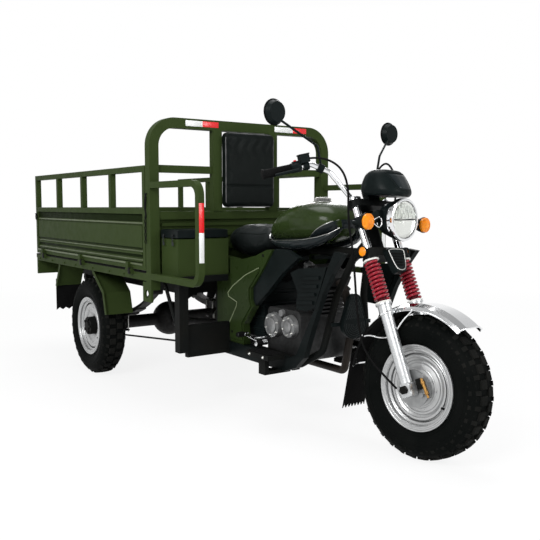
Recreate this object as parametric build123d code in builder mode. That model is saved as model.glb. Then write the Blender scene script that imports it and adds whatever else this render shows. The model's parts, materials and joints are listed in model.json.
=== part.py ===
"""Cargo motor tricycle: steered front wheel, saddle over an open engine, drop-side box over a driven axle.
Millimetres, +X forwards, +Y to the rider's left, +Z up, origin on the floor under the middle."""
import math
import os

from build123d import *

os.makedirs("parts", exist_ok=True)

# Wheels, one tyre size all round
tyre_radius = 284
tyre_width = 140
lug_depth = 9
lug_count = 30
rim_radius = 169
bead_radius = 153
bead_half = 48
flange_half = 51
front_axle_x = 1372
wheelbase = 2155
rear_axle_x = front_axle_x - wheelbase
track = 950
axle_z = tyre_radius

# Fork and steering: the axis lies behind the fork legs, and the wheel rests turned a little to the left
rake = 24
fork_half = 104
axis_offset = 35
steering_at_rest = 8
tube_radius = 17
slider_top = 340
spring_top = 532
lower_clamp = (540, 575)
upper_clamp = (760, 788)

# Load box
box_half = 555
box_back = -1640
hoop_tube = 50
hoop_back = 58
hoop_front = hoop_back + hoop_tube
hoop_top = 1420
wall = 30
bed_bottom = 622
bed_top = 660
panel_bottom = 667
panel_top = 978
fence_rise = 209
fence_top = panel_top + fence_rise
fence_tube = 30

# Middle of the machine
rail_out = 190
rail_in = 150
rail_bottom = 256
rail_top = 320
chassis_y = track / 2 - 150
chassis_bottom = 540
tank_bottom = 810
seat_half = 140
seat_low = 728

# Clearances
moving_gap = 6
pin_gap = 0.5
soft_gap = 0.3
post_gap = 0.2
drop_pin_out = 12
drop_pin_z = panel_bottom

sides = (("right", -1), ("left", 1))

# The front end is drawn straight ahead and turned about the steering axis
lean = math.radians(rake)
fork_up = Vector(-math.sin(lean), 0, math.cos(lean))
fork_forward = Vector(math.cos(lean), 0, math.sin(lean))
front_hub = Vector(front_axle_x, 0, axle_z)
axis_frame = Plane(origin=front_hub - fork_forward * axis_offset, x_dir=fork_forward, z_dir=fork_up)
steer_turn = axis_frame.location * Rotation(0, 0, steering_at_rest) * axis_frame.location.inverse()


def turned(plane):
    """A plane of the straight front end, turned with it about the steering axis."""
    return Plane(steer_turn * plane.location)


def across(x, y, z):
    """A plane whose normal lies along Y, with X along the object and Z up the sketch."""
    return Plane(origin=(x, y, z), x_dir=(1, 0, 0), z_dir=(0, -1, 0))


fork = turned(Plane(origin=front_hub, x_dir=fork_forward, z_dir=fork_up))
ahead = turned(Plane.XY)


def rod(radius, points, bend, plane=Plane.XY):
    """A round bar bent through the points, added to the part being made."""
    placed = [plane.from_local_coords(Vector(*p)) for p in points]
    with BuildLine() as run:
        if len(placed) > 2:
            FilletPolyline(*placed, radius=bend)
        else:
            Line(*placed)
    with BuildSketch(Plane(origin=run.line @ 0, z_dir=run.line % 0)) as end:
        Circle(radius)
    sweep(sections=end.sketch, path=run.line)


def block(low, high, plane=Plane.XY):
    """A box between two corners on a plane, added to the part being made."""
    size = [b - a for a, b in zip(low, high)]
    middle = [(a + b) / 2 for a, b in zip(low, high)]
    centre = plane.from_local_coords(Vector(*middle))
    with BuildSketch(Plane(origin=centre, x_dir=plane.x_dir, z_dir=plane.z_dir)) as face:
        Rectangle(size[0], size[1])
    extrude(face.sketch, amount=size[2] / 2, both=True)


def sleeve(radius, bore, low, high, axis_plane):
    """A round sleeve along the normal of a plane, from one height to another."""
    with BuildSketch(axis_plane.offset(low)) as ring:
        Circle(radius)
        if bore:
            Circle(bore, mode=Mode.SUBTRACT)
    extrude(ring.sketch, amount=high - low)


# Tyres: carcass from bead to crown, two staggered rows of tread blocks, a ring of bars on each shoulder
tyre_half = tyre_width / 2
tread_crown = tyre_radius - lug_depth
tyre_profile = ((bead_radius, bead_half), (rim_radius, flange_half), (205, tyre_half - 3), (236, tyre_half),
                (tread_crown - 13, tyre_half - 8), (tread_crown, 40))
lug_root = 4
lug_length = 34
lug_width = 36
lug_row = 26
bar_height = 24
bar_length = 15
bar_width = 20
bar_row = tyre_half - 16
lug_size = (lug_depth + lug_root, lug_length, lug_width)
bar_size = (bar_height, bar_length, bar_width)
lug_middle = tread_crown + (lug_depth - lug_root) / 2
bar_middle = tread_crown - 17
lug_rings = ((-lug_row, 0, lug_middle, lug_size), (lug_row, 0.5, lug_middle, lug_size),
             (-bar_row, 0.5, bar_middle, bar_size), (bar_row, 0, bar_middle, bar_size))


def tyre(hub_plane):
    """One tyre on a hub plane whose X is radial, whose Y runs along the axle."""
    with BuildSketch(hub_plane) as section:
        with BuildLine():
            Polyline(*tyre_profile, *[(r, -y) for r, y in reversed(tyre_profile)], close=True)
        make_face()
    axle = Axis(hub_plane.origin, hub_plane.y_dir)
    revolve(section.sketch, axis=axle)
    wheel_face = Plane(origin=hub_plane.origin, x_dir=hub_plane.x_dir, z_dir=hub_plane.y_dir)
    with Locations(wheel_face):
        for row, shift, radius, size in lug_rings:
            with Locations((0, 0, row)):
                with PolarLocations(radius, lug_count, start_angle=shift * 360 / lug_count):
                    Box(*size)


hubs = {"front": turned(Plane(origin=front_hub, x_dir=(1, 0, 0), z_dir=(0, 0, 1)))}
for side, sign in sides:
    hubs[side] = Plane(origin=(rear_axle_x, sign * track / 2, axle_z), x_dir=(1, 0, 0), z_dir=(0, 0, 1))

with BuildPart() as front_tyre:
    tyre(hubs["front"])
front_tyre.part.label = "front_tyre"
export_step(front_tyre.part, "parts/front_tyre.step")

with BuildPart() as rear_right_tyre:
    tyre(hubs["right"])
rear_right_tyre.part.label = "rear_right_tyre"
export_step(rear_right_tyre.part, "parts/rear_right_tyre.step")

with BuildPart() as rear_left_tyre:
    tyre(hubs["left"])
rear_left_tyre.part.label = "rear_left_tyre"
export_step(rear_left_tyre.part, "parts/rear_left_tyre.step")

# Rims: pressed barrel with flanges and a stepped disc that ends at its hub
front_pin = 10
rear_pin = 20
front_hub_radius = 62
front_hub_ends = (-66, 62)
rear_hub_radius = 52
rear_hub_in = -6
rear_hub_end = 62
lip_sheet = 6
disc_half = 3


def rim(hub_plane, out, disc):
    """One pressed wheel, its disc dished to the side that out names."""
    lip = ((bead_radius, bead_half), (rim_radius, flange_half), (rim_radius, flange_half + lip_sheet),
           (bead_radius - lip_sheet - 1, flange_half + lip_sheet / 2))
    barrel = (*[(r, -y) for r, y in reversed(lip)], *lip)
    axle = Axis(hub_plane.origin, hub_plane.y_dir)
    with BuildSketch(hub_plane) as section:
        with BuildLine():
            Polyline(*barrel, close=True)
        make_face()
        with BuildLine():
            Polyline(*[(r, out * (y + disc_half)) for r, y in disc],
                     *[(r, out * (y - disc_half)) for r, y in reversed(disc)], close=True)
        make_face()
    revolve(section.sketch, axis=axle)


front_disc = ((148, -20), (120, -34), (104, -26), (front_hub_radius - 2, -40))
rear_disc = ((148, 6), (126, 34), (104, 26), (78, 30), (rear_hub_radius, 16))

with BuildPart() as front_rim:
    rim(hubs["front"], 1, front_disc)
    front_axle_line = Plane(origin=hubs["front"].origin, x_dir=hubs["front"].x_dir, z_dir=hubs["front"].y_dir)
    sleeve(front_hub_radius, front_pin + pin_gap, front_hub_ends[0], front_hub_ends[1], front_axle_line)
front_rim.part.label = "front_rim"
export_step(front_rim.part, "parts/front_rim.step")

with BuildPart() as rear_right_rim:
    rim(hubs["right"], -1, rear_disc)
rear_right_rim.part.label = "rear_right_rim"
export_step(rear_right_rim.part, "parts/rear_right_rim.step")

with BuildPart() as rear_left_rim:
    rim(hubs["left"], 1, rear_disc)
rear_left_rim.part.label = "rear_left_rim"
export_step(rear_left_rim.part, "parts/rear_left_rim.step")

# Rear hubs: turned castings in the discs, each with five nuts round its end
nut_circle = 38
nut_radius = 8
nut_height = 8
nut_count = 5


def rear_hub(hub_plane, out):
    """One hub with its bore and wheel nuts, its end on the side that out names."""
    outward = Plane(origin=hub_plane.origin, x_dir=hub_plane.x_dir, z_dir=hub_plane.y_dir * out)
    sleeve(rear_hub_radius, rear_pin + pin_gap, rear_hub_in, rear_hub_end, outward)
    with BuildSketch(outward.offset(rear_hub_end)) as nuts:
        with PolarLocations(nut_circle, nut_count):
            RegularPolygon(nut_radius, 6)
    extrude(nuts.sketch, amount=nut_height)


with BuildPart() as rear_right_hub:
    rear_hub(hubs["right"], -1)
rear_right_hub.part.label = "rear_right_hub"
export_step(rear_right_hub.part, "parts/rear_right_hub.step")

with BuildPart() as rear_left_hub:
    rear_hub(hubs["left"], 1)
rear_left_hub.part.label = "rear_left_hub"
export_step(rear_left_hub.part, "parts/rear_left_hub.step")

# The two legs of the fork, as planes whose normals run up them
legs = {}
for side, sign in sides:
    leg_foot = fork.from_local_coords(Vector(0, sign * fork_half, 0))
    legs[side] = Plane(origin=leg_foot, x_dir=fork.x_dir, z_dir=fork.z_dir)

# Fork clamps with the steering stem, and a collar under the lower clamp on each leg
clamp_round = 30
stem_radius = 14
collar_radius = 33
with BuildPart() as fork_clamps:
    for low, high in (lower_clamp, upper_clamp):
        with BuildSketch(fork.offset(low)):
            with Locations((0, fork_half), (0, -fork_half)):
                Circle(clamp_round)
            with Locations((-axis_offset, 0)):
                Circle(clamp_round)
            make_hull()
            with Locations((0, fork_half), (0, -fork_half)):
                Circle(tube_radius, mode=Mode.SUBTRACT)
        extrude(amount=high - low)
    with BuildSketch(fork.offset(lower_clamp[1])):
        with Locations((-axis_offset, 0)):
            Circle(stem_radius)
    extrude(amount=upper_clamp[0] - lower_clamp[1])
    for leg in legs.values():
        sleeve(collar_radius, tube_radius, spring_top, lower_clamp[0], leg)
fork_clamps.part.label = "fork_clamps"
export_step(fork_clamps.part, "parts/fork_clamps.step")

# Chrome fork tubes with cap bolts
tube_end = upper_clamp[1] + 5
cap_radius = 13
cap_height = 9
with BuildPart() as fork_tubes:
    for leg in legs.values():
        sleeve(tube_radius, 0, slider_top, tube_end, leg)
        sleeve(cap_radius, 0, tube_end, tube_end + cap_height, leg)
fork_tubes.part.label = "fork_tubes"
export_step(fork_tubes.part, "parts/fork_tubes.step")

# Red coil springs over the tubes
wire = 4.5
coil_radius = 27
coil_turns = 9
seat_ring = 6
with BuildPart() as fork_springs:
    for leg in legs.values():
        with BuildLine(leg.offset(slider_top + seat_ring + wire)) as coil:
            rise = spring_top - slider_top - seat_ring - 2 * wire
            Helix(pitch=rise / coil_turns, height=rise, radius=coil_radius, direction=leg.z_dir)
        with BuildSketch(Plane(origin=coil.line @ 0, z_dir=coil.line % 0)) as end:
            Circle(wire)
        sweep(sections=end.sketch, path=coil.line, is_frenet=True)
fork_springs.part.label = "fork_springs"
export_step(fork_springs.part, "parts/fork_springs.step")

# Sliders with spring seats and spindle lugs
slider_radius = 24
slider_neck = slider_radius + 3
neck_height = 40
slider_low = 16
lug_half = 22
with BuildPart() as fork_sliders:
    for leg in legs.values():
        sleeve(slider_radius, 0, slider_low, slider_top - neck_height, leg)
        sleeve(slider_neck, 0, slider_top - neck_height, slider_top, leg)
        sleeve(collar_radius, tube_radius + pin_gap, slider_top, slider_top + seat_ring, leg)
        lug = Plane(origin=leg.origin, x_dir=leg.x_dir, z_dir=leg.y_dir)
        with BuildSketch(lug):
            Circle(slider_neck)
        extrude(amount=lug_half, both=True)
        with BuildSketch(lug):
            Circle(front_pin)
        extrude(amount=2 * lug_half, both=True, mode=Mode.SUBTRACT)
fork_sliders.part.label = "fork_sliders"
export_step(fork_sliders.part, "parts/fork_sliders.step")

# Front spindle with its nuts, and a spacer on the left of the hub
spindle_end = fork_half + lug_half
spindle_nut = 17
spindle_nut_height = 14
spacer_radius = 15
hub_play = 0.5
spindle = Plane(origin=fork.origin, x_dir=fork.x_dir, z_dir=fork.y_dir)
with BuildPart() as front_spindle:
    sleeve(front_pin, 0, -spindle_end, spindle_end, spindle)
    for low in (-spindle_end - spindle_nut_height, spindle_end):
        with BuildSketch(spindle.offset(low)):
            RegularPolygon(spindle_nut, 6)
        extrude(amount=spindle_nut_height)
    sleeve(spacer_radius, 0, front_hub_ends[1] + hub_play, fork_half - lug_half, spindle)
front_spindle.part.label = "front_spindle"
export_step(front_spindle.part, "parts/front_spindle.step")

# Brake plate on the right of the front hub, with its cam arm and two bosses
plate_radius = 72
plate_low = hub_play - front_hub_ends[0]
plate_high = plate_low + 5.5
cam_arm = ((60, 24, 9), (66, -46, 7))
plate_bosses = ((36, -34), (-34, 42))
boss_radius = 9
with BuildPart() as front_brake:
    plate_face = Plane(origin=fork.origin, x_dir=fork.x_dir, z_dir=-fork.y_dir)
    sleeve(plate_radius, front_pin, plate_low, plate_high, plate_face)
    sleeve(spacer_radius, front_pin, plate_high, fork_half - lug_half, plate_face)
    with BuildSketch(plate_face.offset(plate_high)) as arm:
        for n, h, radius in cam_arm:
            with Locations((n, h)):
                Circle(radius)
        make_hull()
    extrude(arm.sketch, amount=lip_sheet)
    with BuildSketch(plate_face.offset(plate_high)) as bosses:
        with Locations(*plate_bosses):
            Circle(boss_radius)
    extrude(bosses.sketch, amount=2 * lip_sheet)
front_brake.part.label = "front_brake"
export_step(front_brake.part, "parts/front_brake.step")

# Chrome front mudguard: a rounded channel turned about the hub, with stays to the sliders
guard_crown = 328
guard_edge = 302
guard_half = 76
guard_sheet = 3
stay_half = 30
guard_front = 52
guard_sweep = 121
with BuildPart() as front_mudguard:
    start = math.radians(guard_front)
    radial = turned(Plane(origin=front_hub, x_dir=(math.cos(start), 0, math.sin(start)),
                          z_dir=(-math.sin(start), 0, math.cos(start))))
    with BuildSketch(radial) as channel:
        with BuildLine():
            half = ((guard_edge, guard_half), (guard_crown - 12, guard_half - 6), (guard_crown, guard_half - 34))
            Polyline(*[(r, -y) for r, y in half], *reversed(half))
            offset(amount=guard_sheet, side=Side.LEFT)
        make_face()
    revolve(axis=Axis(radial.origin, -radial.y_dir), revolution_arc=guard_sweep)
    for side, sign in sides:
        stay = sorted((sign * (guard_half - 5), sign * (fork_half - slider_neck)))
        block((-stay_half, stay[0], guard_edge + 4), (stay_half, stay[1], guard_edge + 16), fork)
front_mudguard.part.label = "front_mudguard"
export_step(front_mudguard.part, "parts/front_mudguard.step")

# Rubber flap under the tail of the front mudguard, its lower edge toothed
flap_sheet = 5
flap_half = 70
flap_top = 22
flap_drop = 185
tooth = 14
with BuildPart() as front_flap:
    end = math.radians(guard_front + guard_sweep - 3)
    outward = Vector(math.cos(end), 0, math.sin(end))
    hang = turned(Plane(origin=front_hub + outward * guard_crown, x_dir=(0, 1, 0), z_dir=outward))
    with BuildSketch(hang):
        with BuildLine():
            teeth = [(-flap_half + flap_half * i / 4, tooth * (i % 2) - flap_drop) for i in range(9)]
            Polyline((-flap_half, flap_top), (flap_half, flap_top), *reversed(teeth), close=True)
        make_face()
    extrude(amount=flap_sheet)
front_flap.part.label = "front_flap"
export_step(front_flap.part, "parts/front_flap.step")

# Handlebar: one bent chrome tube in two clamp blocks
bar_radius = 11
bar_rise = (950, 150, 1122)
bar_top = (905, 215, 1150)
grip_end = (800, 392, 1095)
bar_share = 0.22
bar_end = tuple(a + bar_share * (b - a) for a, b in zip(bar_top, grip_end))
bar_centre = front_hub + fork_up * (upper_clamp[1] + 26) - fork_forward * 45
bar_bend = 32
bar_flat = 50
riser_y = 34
riser_half = 14
riser_n = (-64, -26)
riser_height = 40
with BuildPart() as handlebar:
    left_half = ((bar_centre.X, bar_flat, bar_centre.Z), bar_rise, bar_top, bar_end)
    right_half = [(x, -y, z) for x, y, z in reversed(left_half)]
    rod(bar_radius, [*right_half, *left_half], bar_bend, ahead)
    for side, sign in sides:
        block((riser_n[0], sign * riser_y - riser_half, upper_clamp[1]),
              (riser_n[1], sign * riser_y + riser_half, upper_clamp[1] + riser_height), fork)
handlebar.part.label = "handlebar"
export_step(handlebar.part, "parts/handlebar.step")

# Grips with end rings, switch housings and levers, and the brake reservoir on the right of the bar
housing_radius = 21
housing_length = 42
grip_radius = 17
grip_ring = (20, 6)
lever_radius = 6
lever_bend = 18
pot_at = -22
pot_ring = (19, 12)
pot_up = (12, 44)
pot_across = (-24, 26)
pot_lid = 5
with BuildPart() as hand_controls:
    for side, sign in sides:
        inner = Vector(bar_end[0], sign * bar_end[1], bar_end[2])
        outer = Vector(grip_end[0], sign * grip_end[1], grip_end[2])
        along = (outer - inner).normalized()
        reach = (outer - inner).length
        hold = turned(Plane(origin=inner, x_dir=(0, 0, 1), z_dir=along))
        sleeve(housing_radius, 0, 0, housing_length, hold)
        sleeve(grip_radius, 0, housing_length, reach - grip_ring[1], hold)
        sleeve(grip_ring[0], 0, reach - grip_ring[1], reach, hold)
        start = inner + along * 20
        lever = [start, start + Vector(52, 0, -4), start + Vector(30, 0, -10) + along * 110]
        rod(lever_radius, lever, lever_bend, ahead)
        if side == "right":
            sleeve(pot_ring[0], bar_radius, pot_at - pot_ring[1], pot_at + pot_ring[1], hold)
            block((pot_up[0], pot_across[0], pot_at - pot_ring[1] - 5), (pot_up[1], pot_across[1], 0), hold)
            block((pot_up[1], pot_across[0] - 2, pot_at - pot_ring[1] - 7),
                  (pot_up[1] + pot_lid, pot_across[1] + 2, 2), hold)
hand_controls.part.label = "hand_controls"
export_step(hand_controls.part, "parts/hand_controls.step")

# Mirrors on clamped stems
mirror_radius = 53
mirror_depth = 26
mirror_head = (828, 370, 1350)
stem_clamp = (19, 13)
with BuildPart() as mirrors:
    for side, sign in sides:
        a = Vector(bar_rise[0], sign * bar_rise[1], bar_rise[2])
        b = Vector(bar_top[0], sign * bar_top[1], bar_top[2])
        middle = (a + b) * 0.5
        ring = turned(Plane(origin=middle, z_dir=(b - a).normalized()))
        sleeve(stem_clamp[0], bar_radius, -stem_clamp[1], stem_clamp[1], ring)
        stem = [middle + Vector(0, 0, 15), middle + Vector(-6, sign * 20, 90),
                Vector(845, sign * 352, 1322), Vector(845, sign * 366, 1345)]
        rod(5, stem, 14, ahead)
        head_x, head_y, head_z = mirror_head
        back = turned(Plane(origin=(head_x, sign * head_y, head_z), x_dir=(0, 1, 0), z_dir=(1, 0, 0)))
        with BuildSketch(back) as face:
            Circle(mirror_radius)
        extrude(face.sketch, amount=mirror_depth, taper=24)
mirrors.part.label = "mirrors"
export_step(mirrors.part, "parts/mirrors.step")

# Headlamp bowl with its bezel and side arms on the fork tubes
lamp_z = 936
lamp_front = 1233
lamp_radius = 85
arm_at = 690
lamp_ring = (26, 22)
lamp_arm_n = (20, 96)
lamp_arm_y = (66, 98)
lamp_arm_half = 18
with BuildPart() as headlamp_shell:
    with BuildSketch(turned(across(0, 0, 0))) as bowl:
        with BuildLine():
            Polyline((lamp_front - 112, lamp_z), (lamp_front - 112, lamp_z + 34), (lamp_front - 88, lamp_z + 62),
                     (lamp_front - 50, lamp_z + 76), (lamp_front - 20, lamp_z + 79),
                     (lamp_front - 20, lamp_z + lamp_radius), (lamp_front, lamp_z + lamp_radius),
                     (lamp_front, lamp_z + lamp_radius - 10), (lamp_front - 12, lamp_z + lamp_radius - 12),
                     (lamp_front - 12, lamp_z), close=True)
        make_face()
    lamp_axis = turned(Plane(origin=(0, 0, lamp_z), x_dir=(0, 1, 0), z_dir=(1, 0, 0)))
    revolve(axis=Axis(lamp_axis.origin, lamp_axis.z_dir))
    for side, sign in sides:
        sleeve(lamp_ring[0], tube_radius, arm_at - lamp_ring[1], arm_at + lamp_ring[1], legs[side])
        plate = sorted((sign * lamp_arm_y[0], sign * lamp_arm_y[1]))
        block((lamp_arm_n[0], plate[0], arm_at - lamp_arm_half), (lamp_arm_n[1], plate[1], arm_at + lamp_arm_half), fork)
headlamp_shell.part.label = "headlamp_shell"
export_step(headlamp_shell.part, "parts/headlamp_shell.step")

with BuildPart() as headlamp_lens:
    with BuildSketch(lamp_axis.offset(lamp_front - 12)):
        Circle(lamp_radius - 13)
    extrude(amount=10)
headlamp_lens.part.label = "headlamp_lens"
export_step(headlamp_lens.part, "parts/headlamp_lens.step")

# Instrument cowl over the headlamp: level sections drawn in towards the top, on a foot from the upper clamp
cowl_sections = ((1030, 1046, 1222, 84), (1044, 1034, 1232, 95), (1085, 1036, 1214, 92), (1122, 1056, 1186, 76),
                 (1137, 1092, 1160, 50))
cowl_corner = 0.45
cowl_foot = (-4, 26)
cowl_foot_half = 36
cowl_foot_height = 45
with BuildPart() as instrument_cowl:
    for z, back, front, half in cowl_sections:
        with BuildSketch(turned(Plane.XY.offset(z))):
            with Locations(((back + front) / 2, 0)):
                RectangleRounded(front - back, 2 * half, cowl_corner * min(front - back, 2 * half))
    loft()
    foot_top = upper_clamp[1] + cowl_foot_height
    block((cowl_foot[0], -cowl_foot_half, upper_clamp[1]), (cowl_foot[1], cowl_foot_half, foot_top), fork)
instrument_cowl.part.label = "instrument_cowl"
export_step(instrument_cowl.part, "parts/instrument_cowl.step")

# Amber indicators on short arms from the fork, amber round reflectors on the lower clamp
indicator_arm = 9
indicator_stub = 40
indicator_at = (1192, 186, 921)
indicator_back = (20, 40)
indicator_rim = 33
indicator_lens = (31, 14)
reflector_radius = 21
reflector_depth = 12
reflector_at = 566
with BuildPart() as indicators:
    for side, sign in sides:
        low = fork.from_local_coords(Vector(0, sign * (fork_half + lamp_ring[0]), arm_at))
        arm = Plane(origin=low, x_dir=fork.x_dir, z_dir=fork.y_dir * sign)
        sleeve(indicator_arm, 0, 0, indicator_stub, arm)
        head = Vector(indicator_at[0], sign * indicator_at[1], indicator_at[2])
        rod(indicator_arm, [(1098, sign * 160, 915), (1160, sign * 176, 920)], indicator_arm, ahead)
        lamp = turned(Plane(origin=head, x_dir=(0, 1, 0), z_dir=(1, 0, 0)))
        with BuildSketch(lamp.offset(-indicator_back[1])) as back:
            Circle(indicator_back[0])
        with BuildSketch(lamp) as front:
            Circle(indicator_rim)
        loft(sections=[back.sketch, front.sketch])
        sleeve(indicator_lens[0], 0, 0, indicator_lens[1], lamp)
        round_face = fork.from_local_coords(Vector(0, sign * (fork_half + clamp_round), reflector_at))
        disc = Plane(origin=round_face, x_dir=fork.x_dir, z_dir=fork.y_dir * sign)
        sleeve(reflector_radius, 0, 0, reflector_depth, disc)
indicators.part.label = "indicators"
export_step(indicators.part, "parts/indicators.step")

# Horn cover on the front of the lower clamp, narrower below
horn_at = 512
horn_half = 54
horn_top = 60
horn_foot = 34
horn_round = 20
horn_depth = 26
with BuildPart() as horn_cover:
    horn_origin = fork.from_local_coords(Vector(clamp_round, 0, horn_at))
    with BuildSketch(Plane(origin=horn_origin, x_dir=fork.y_dir, z_dir=fork.x_dir)) as shield:
        with BuildLine():
            Polyline((-horn_foot, -horn_half), (horn_foot, -horn_half), (horn_top, horn_half),
                     (-horn_top, horn_half), close=True)
        make_face()
        fillet(shield.vertices(), horn_round)
    extrude(amount=horn_depth, taper=8)
horn_cover.part.label = "horn_cover"
export_step(horn_cover.part, "parts/horn_cover.step")

# Brake hose from the reservoir to the front hub, and the clutch cable from the left lever to its arm
cable_radius = 4.5
cable_bend = 40
brake_run = ((911, -231.3, 1173.8), (985, -206, 1180), (1060, -156, 1105), (1064, -149, 914), (1098, -147, 800),
             (1139, -140, 475), (1205, -136, 365), (1338, -132, 284))
clutch_run = ((854, 267, 1152.2), (905, 240, 1196), (1000, 185, 1186), (1078, 150, 1080), (1064, 134, 945))
with BuildPart() as control_cables:
    rod(cable_radius, brake_run, cable_bend, ahead)
    rod(cable_radius, clutch_run, cable_bend, ahead)
control_cables.part.label = "control_cables"
export_step(control_cables.part, "parts/control_cables.step")

# Tube frame: head tube, spine under the tank, down tubes, lower rails and rear uprights
head_low = lower_clamp[1] + moving_gap
head_high = upper_clamp[0] - moving_gap
spine_radius = 22
spine_z = tank_bottom - spine_radius
upright_x = (hoop_front, 148)
rail_front = 770
head_radius = 30
spine_run = ((1082, 0, 850), (1020, 0, spine_z), (650, 0, spine_z), (430, 0, 697), (128, 0, 690))
down_radius = 16
rail_middle = (rail_in + rail_out) / 2
down_run = ((1072, 14, 858), (1000, 40, 770), (935, 78, 600), (905, 128, 360), (800, rail_middle, 290),
            (700, rail_middle, 290))
bridge_z = (668, 712)
saddle_x = (262, 302)
saddle_half = 60
saddle_foot = 690
with BuildPart() as main_frame:
    sleeve(head_radius, 0, head_low, head_high, axis_frame)
    rod(spine_radius, spine_run, 60)
    for side, sign in sides:
        rail = sorted((sign * rail_in, sign * rail_out))
        rod(down_radius, [(x, sign * y, z) for x, y, z in down_run], 40)
        block((upright_x[0], rail[0], rail_bottom + 4), (rail_front, rail[1], rail_top))
        block((upright_x[0], rail[0], rail_top), (upright_x[1], rail[1], bridge_z[1]))
    block((upright_x[0], -rail_out, bridge_z[0]), (upright_x[1], rail_out, bridge_z[1]))
    block((saddle_x[0], -saddle_half, saddle_foot), (saddle_x[1], saddle_half, seat_low))
    with BuildSketch(axis_frame.offset(head_low - head_radius)):
        Circle(stem_radius + 1)
    extrude(amount=head_high - head_low + 2 * head_radius, mode=Mode.SUBTRACT)
main_frame.part.label = "main_frame"
export_step(main_frame.part, "parts/main_frame.step")

# Engine: crankcase between the lower rails, finned cylinder leaning forwards under the spine
case_x = (520, 775)
case_z = (rail_bottom + 30, 520)
cylinder_lean = 28
fin_count = 7
with BuildPart() as engine:
    block((case_x[0], -rail_in, case_z[0]), (case_x[1], rail_in, case_z[1]))
    fillet(engine.edges().filter_by(Axis.Y), 30)
    tilt = math.radians(cylinder_lean)
    barrel = Plane(origin=(700, 0, 480), x_dir=(math.cos(tilt), 0, -math.sin(tilt)),
                   z_dir=(math.sin(tilt), 0, math.cos(tilt)))
    block((-52, -52, 0), (52, 52, 236), barrel)
    for i in range(fin_count):
        block((-72, -74, 52 + 22 * i), (72, 74, 62 + 22 * i), barrel)
    block((-60, -62, 204), (60, 62, 250), barrel)
    block((-130, -34, 150), (-50, 34, 196), barrel)
engine.part.label = "engine"
export_step(engine.part, "parts/engine.step")

# Side covers of the engine
cover_depth = 24
cover_rounds = ((583, 438, 60, cover_depth), (708, 446, 53, cover_depth), (642, 500, 18, 14))
with BuildPart() as engine_covers:
    for side, sign in sides:
        for x, z, radius, depth in cover_rounds:
            case_side = Plane(origin=(x, sign * rail_in, z), x_dir=(1, 0, 0), z_dir=(0, sign, 0))
            with BuildSketch(case_side) as cover:
                Circle(radius)
            extrude(cover.sketch, amount=depth, taper=12)
engine_covers.part.label = "engine_covers"
export_step(engine_covers.part, "parts/engine_covers.step")

# Exhaust: header from the cylinder front, pipe under the engine, silencer on the left below the bed
with BuildPart() as exhaust:
    port = barrel.from_local_coords(Vector(60, 0, 226))
    away = port + barrel.x_dir * 44
    rod(18, [(port.X, port.Y, port.Z), (away.X, away.Y, away.Z), (868, 70, 440), (790, 95, 225),
             (250, 100, 225), (60, 128, 330), (0, 128, 330)], 36)
    with BuildSketch(Plane(origin=(0, 128, 330), x_dir=(0, 1, 0), z_dir=(-1, 0, 0))):
        Circle(54)
    extrude(amount=420)
    rod(16, [(-420, 128, 330), (-520, 128, 330)], 10)
exhaust.part.label = "exhaust"
export_step(exhaust.part, "parts/exhaust.step")

# Fuel tank: rounded sections along X, filler neck on top
cap_x = 741
neck_top = 1012
tank_sections = ((528, 70, 816, 872), (600, 112, 811, 940), (cap_x, 148, tank_bottom, 1003),
                 (880, 136, tank_bottom, 998), (962, 52, 850, 952))
with BuildPart() as fuel_tank:
    for x, half, low, high in tank_sections:
        with BuildSketch(Plane.YZ.offset(x)):
            with Locations((0, (low + high) / 2)):
                RectangleRounded(2 * half, high - low, 0.42 * min(2 * half, high - low))
    loft()
    with BuildSketch(Plane.XY.offset(tank_bottom - 30)):
        with Locations((740, 0)):
            Rectangle(600, 400)
    extrude(amount=30, mode=Mode.SUBTRACT)
    with BuildSketch(Plane.XY.offset(980)):
        with Locations((cap_x, 0)):
            Circle(42)
    extrude(amount=neck_top - 980)
fuel_tank.part.label = "fuel_tank"
export_step(fuel_tank.part, "parts/fuel_tank.step")

with BuildPart() as tank_cap:
    with BuildSketch(Plane.XY.offset(neck_top)):
        with Locations((cap_x, 0)):
            Circle(36)
    extrude(amount=14, taper=10)
tank_cap.part.label = "tank_cap"
export_step(tank_cap.part, "parts/tank_cap.step")

# Black trims along the lower flanks of the tank
trim_in = 152
trim_depth = 14
with BuildPart() as tank_trims:
    for side, sign in sides:
        with BuildSketch(across(0, sign * trim_in, 0)) as flank:
            with BuildLine():
                Polyline((566, 824), (766, 842), (908, 862), (960, 876), (974, 866), (960, 836), (904, 811),
                         (788, 797), (665, 802), close=True)
            make_face()
        extrude(flank.sketch, amount=-sign * trim_depth)
        tie = sorted((sign * spine_radius, sign * (trim_in + 4)))
        block((690, tie[0], 780), (740, tie[1], 806))
tank_trims.part.label = "tank_trims"
export_step(tank_trims.part, "parts/tank_trims.step")

# Saddle: rounded sections along X, broad at the back and narrow at the tank
seat_round = 0.42
seat_sections = ((118, seat_half - 18, 742, 862), (199, seat_half - 2, 735, 893),
                 (saddle_x[0], seat_half, seat_low, 897), (saddle_x[1], seat_half - 1, seat_low, 899),
                 (339, seat_half - 5, 734, 901), (428, 106, 756, 892), (470, 88, 786, 887), (522, 62, 828, 856))
with BuildPart() as seat:
    for x, half, low, high in seat_sections:
        with BuildSketch(Plane.YZ.offset(x)):
            with Locations((0, (low + high) / 2)):
                RectangleRounded(2 * half, high - low, seat_round * (high - low))
    loft(ruled=True)
seat.part.label = "seat"
export_step(seat.part, "parts/seat.step")

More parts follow.
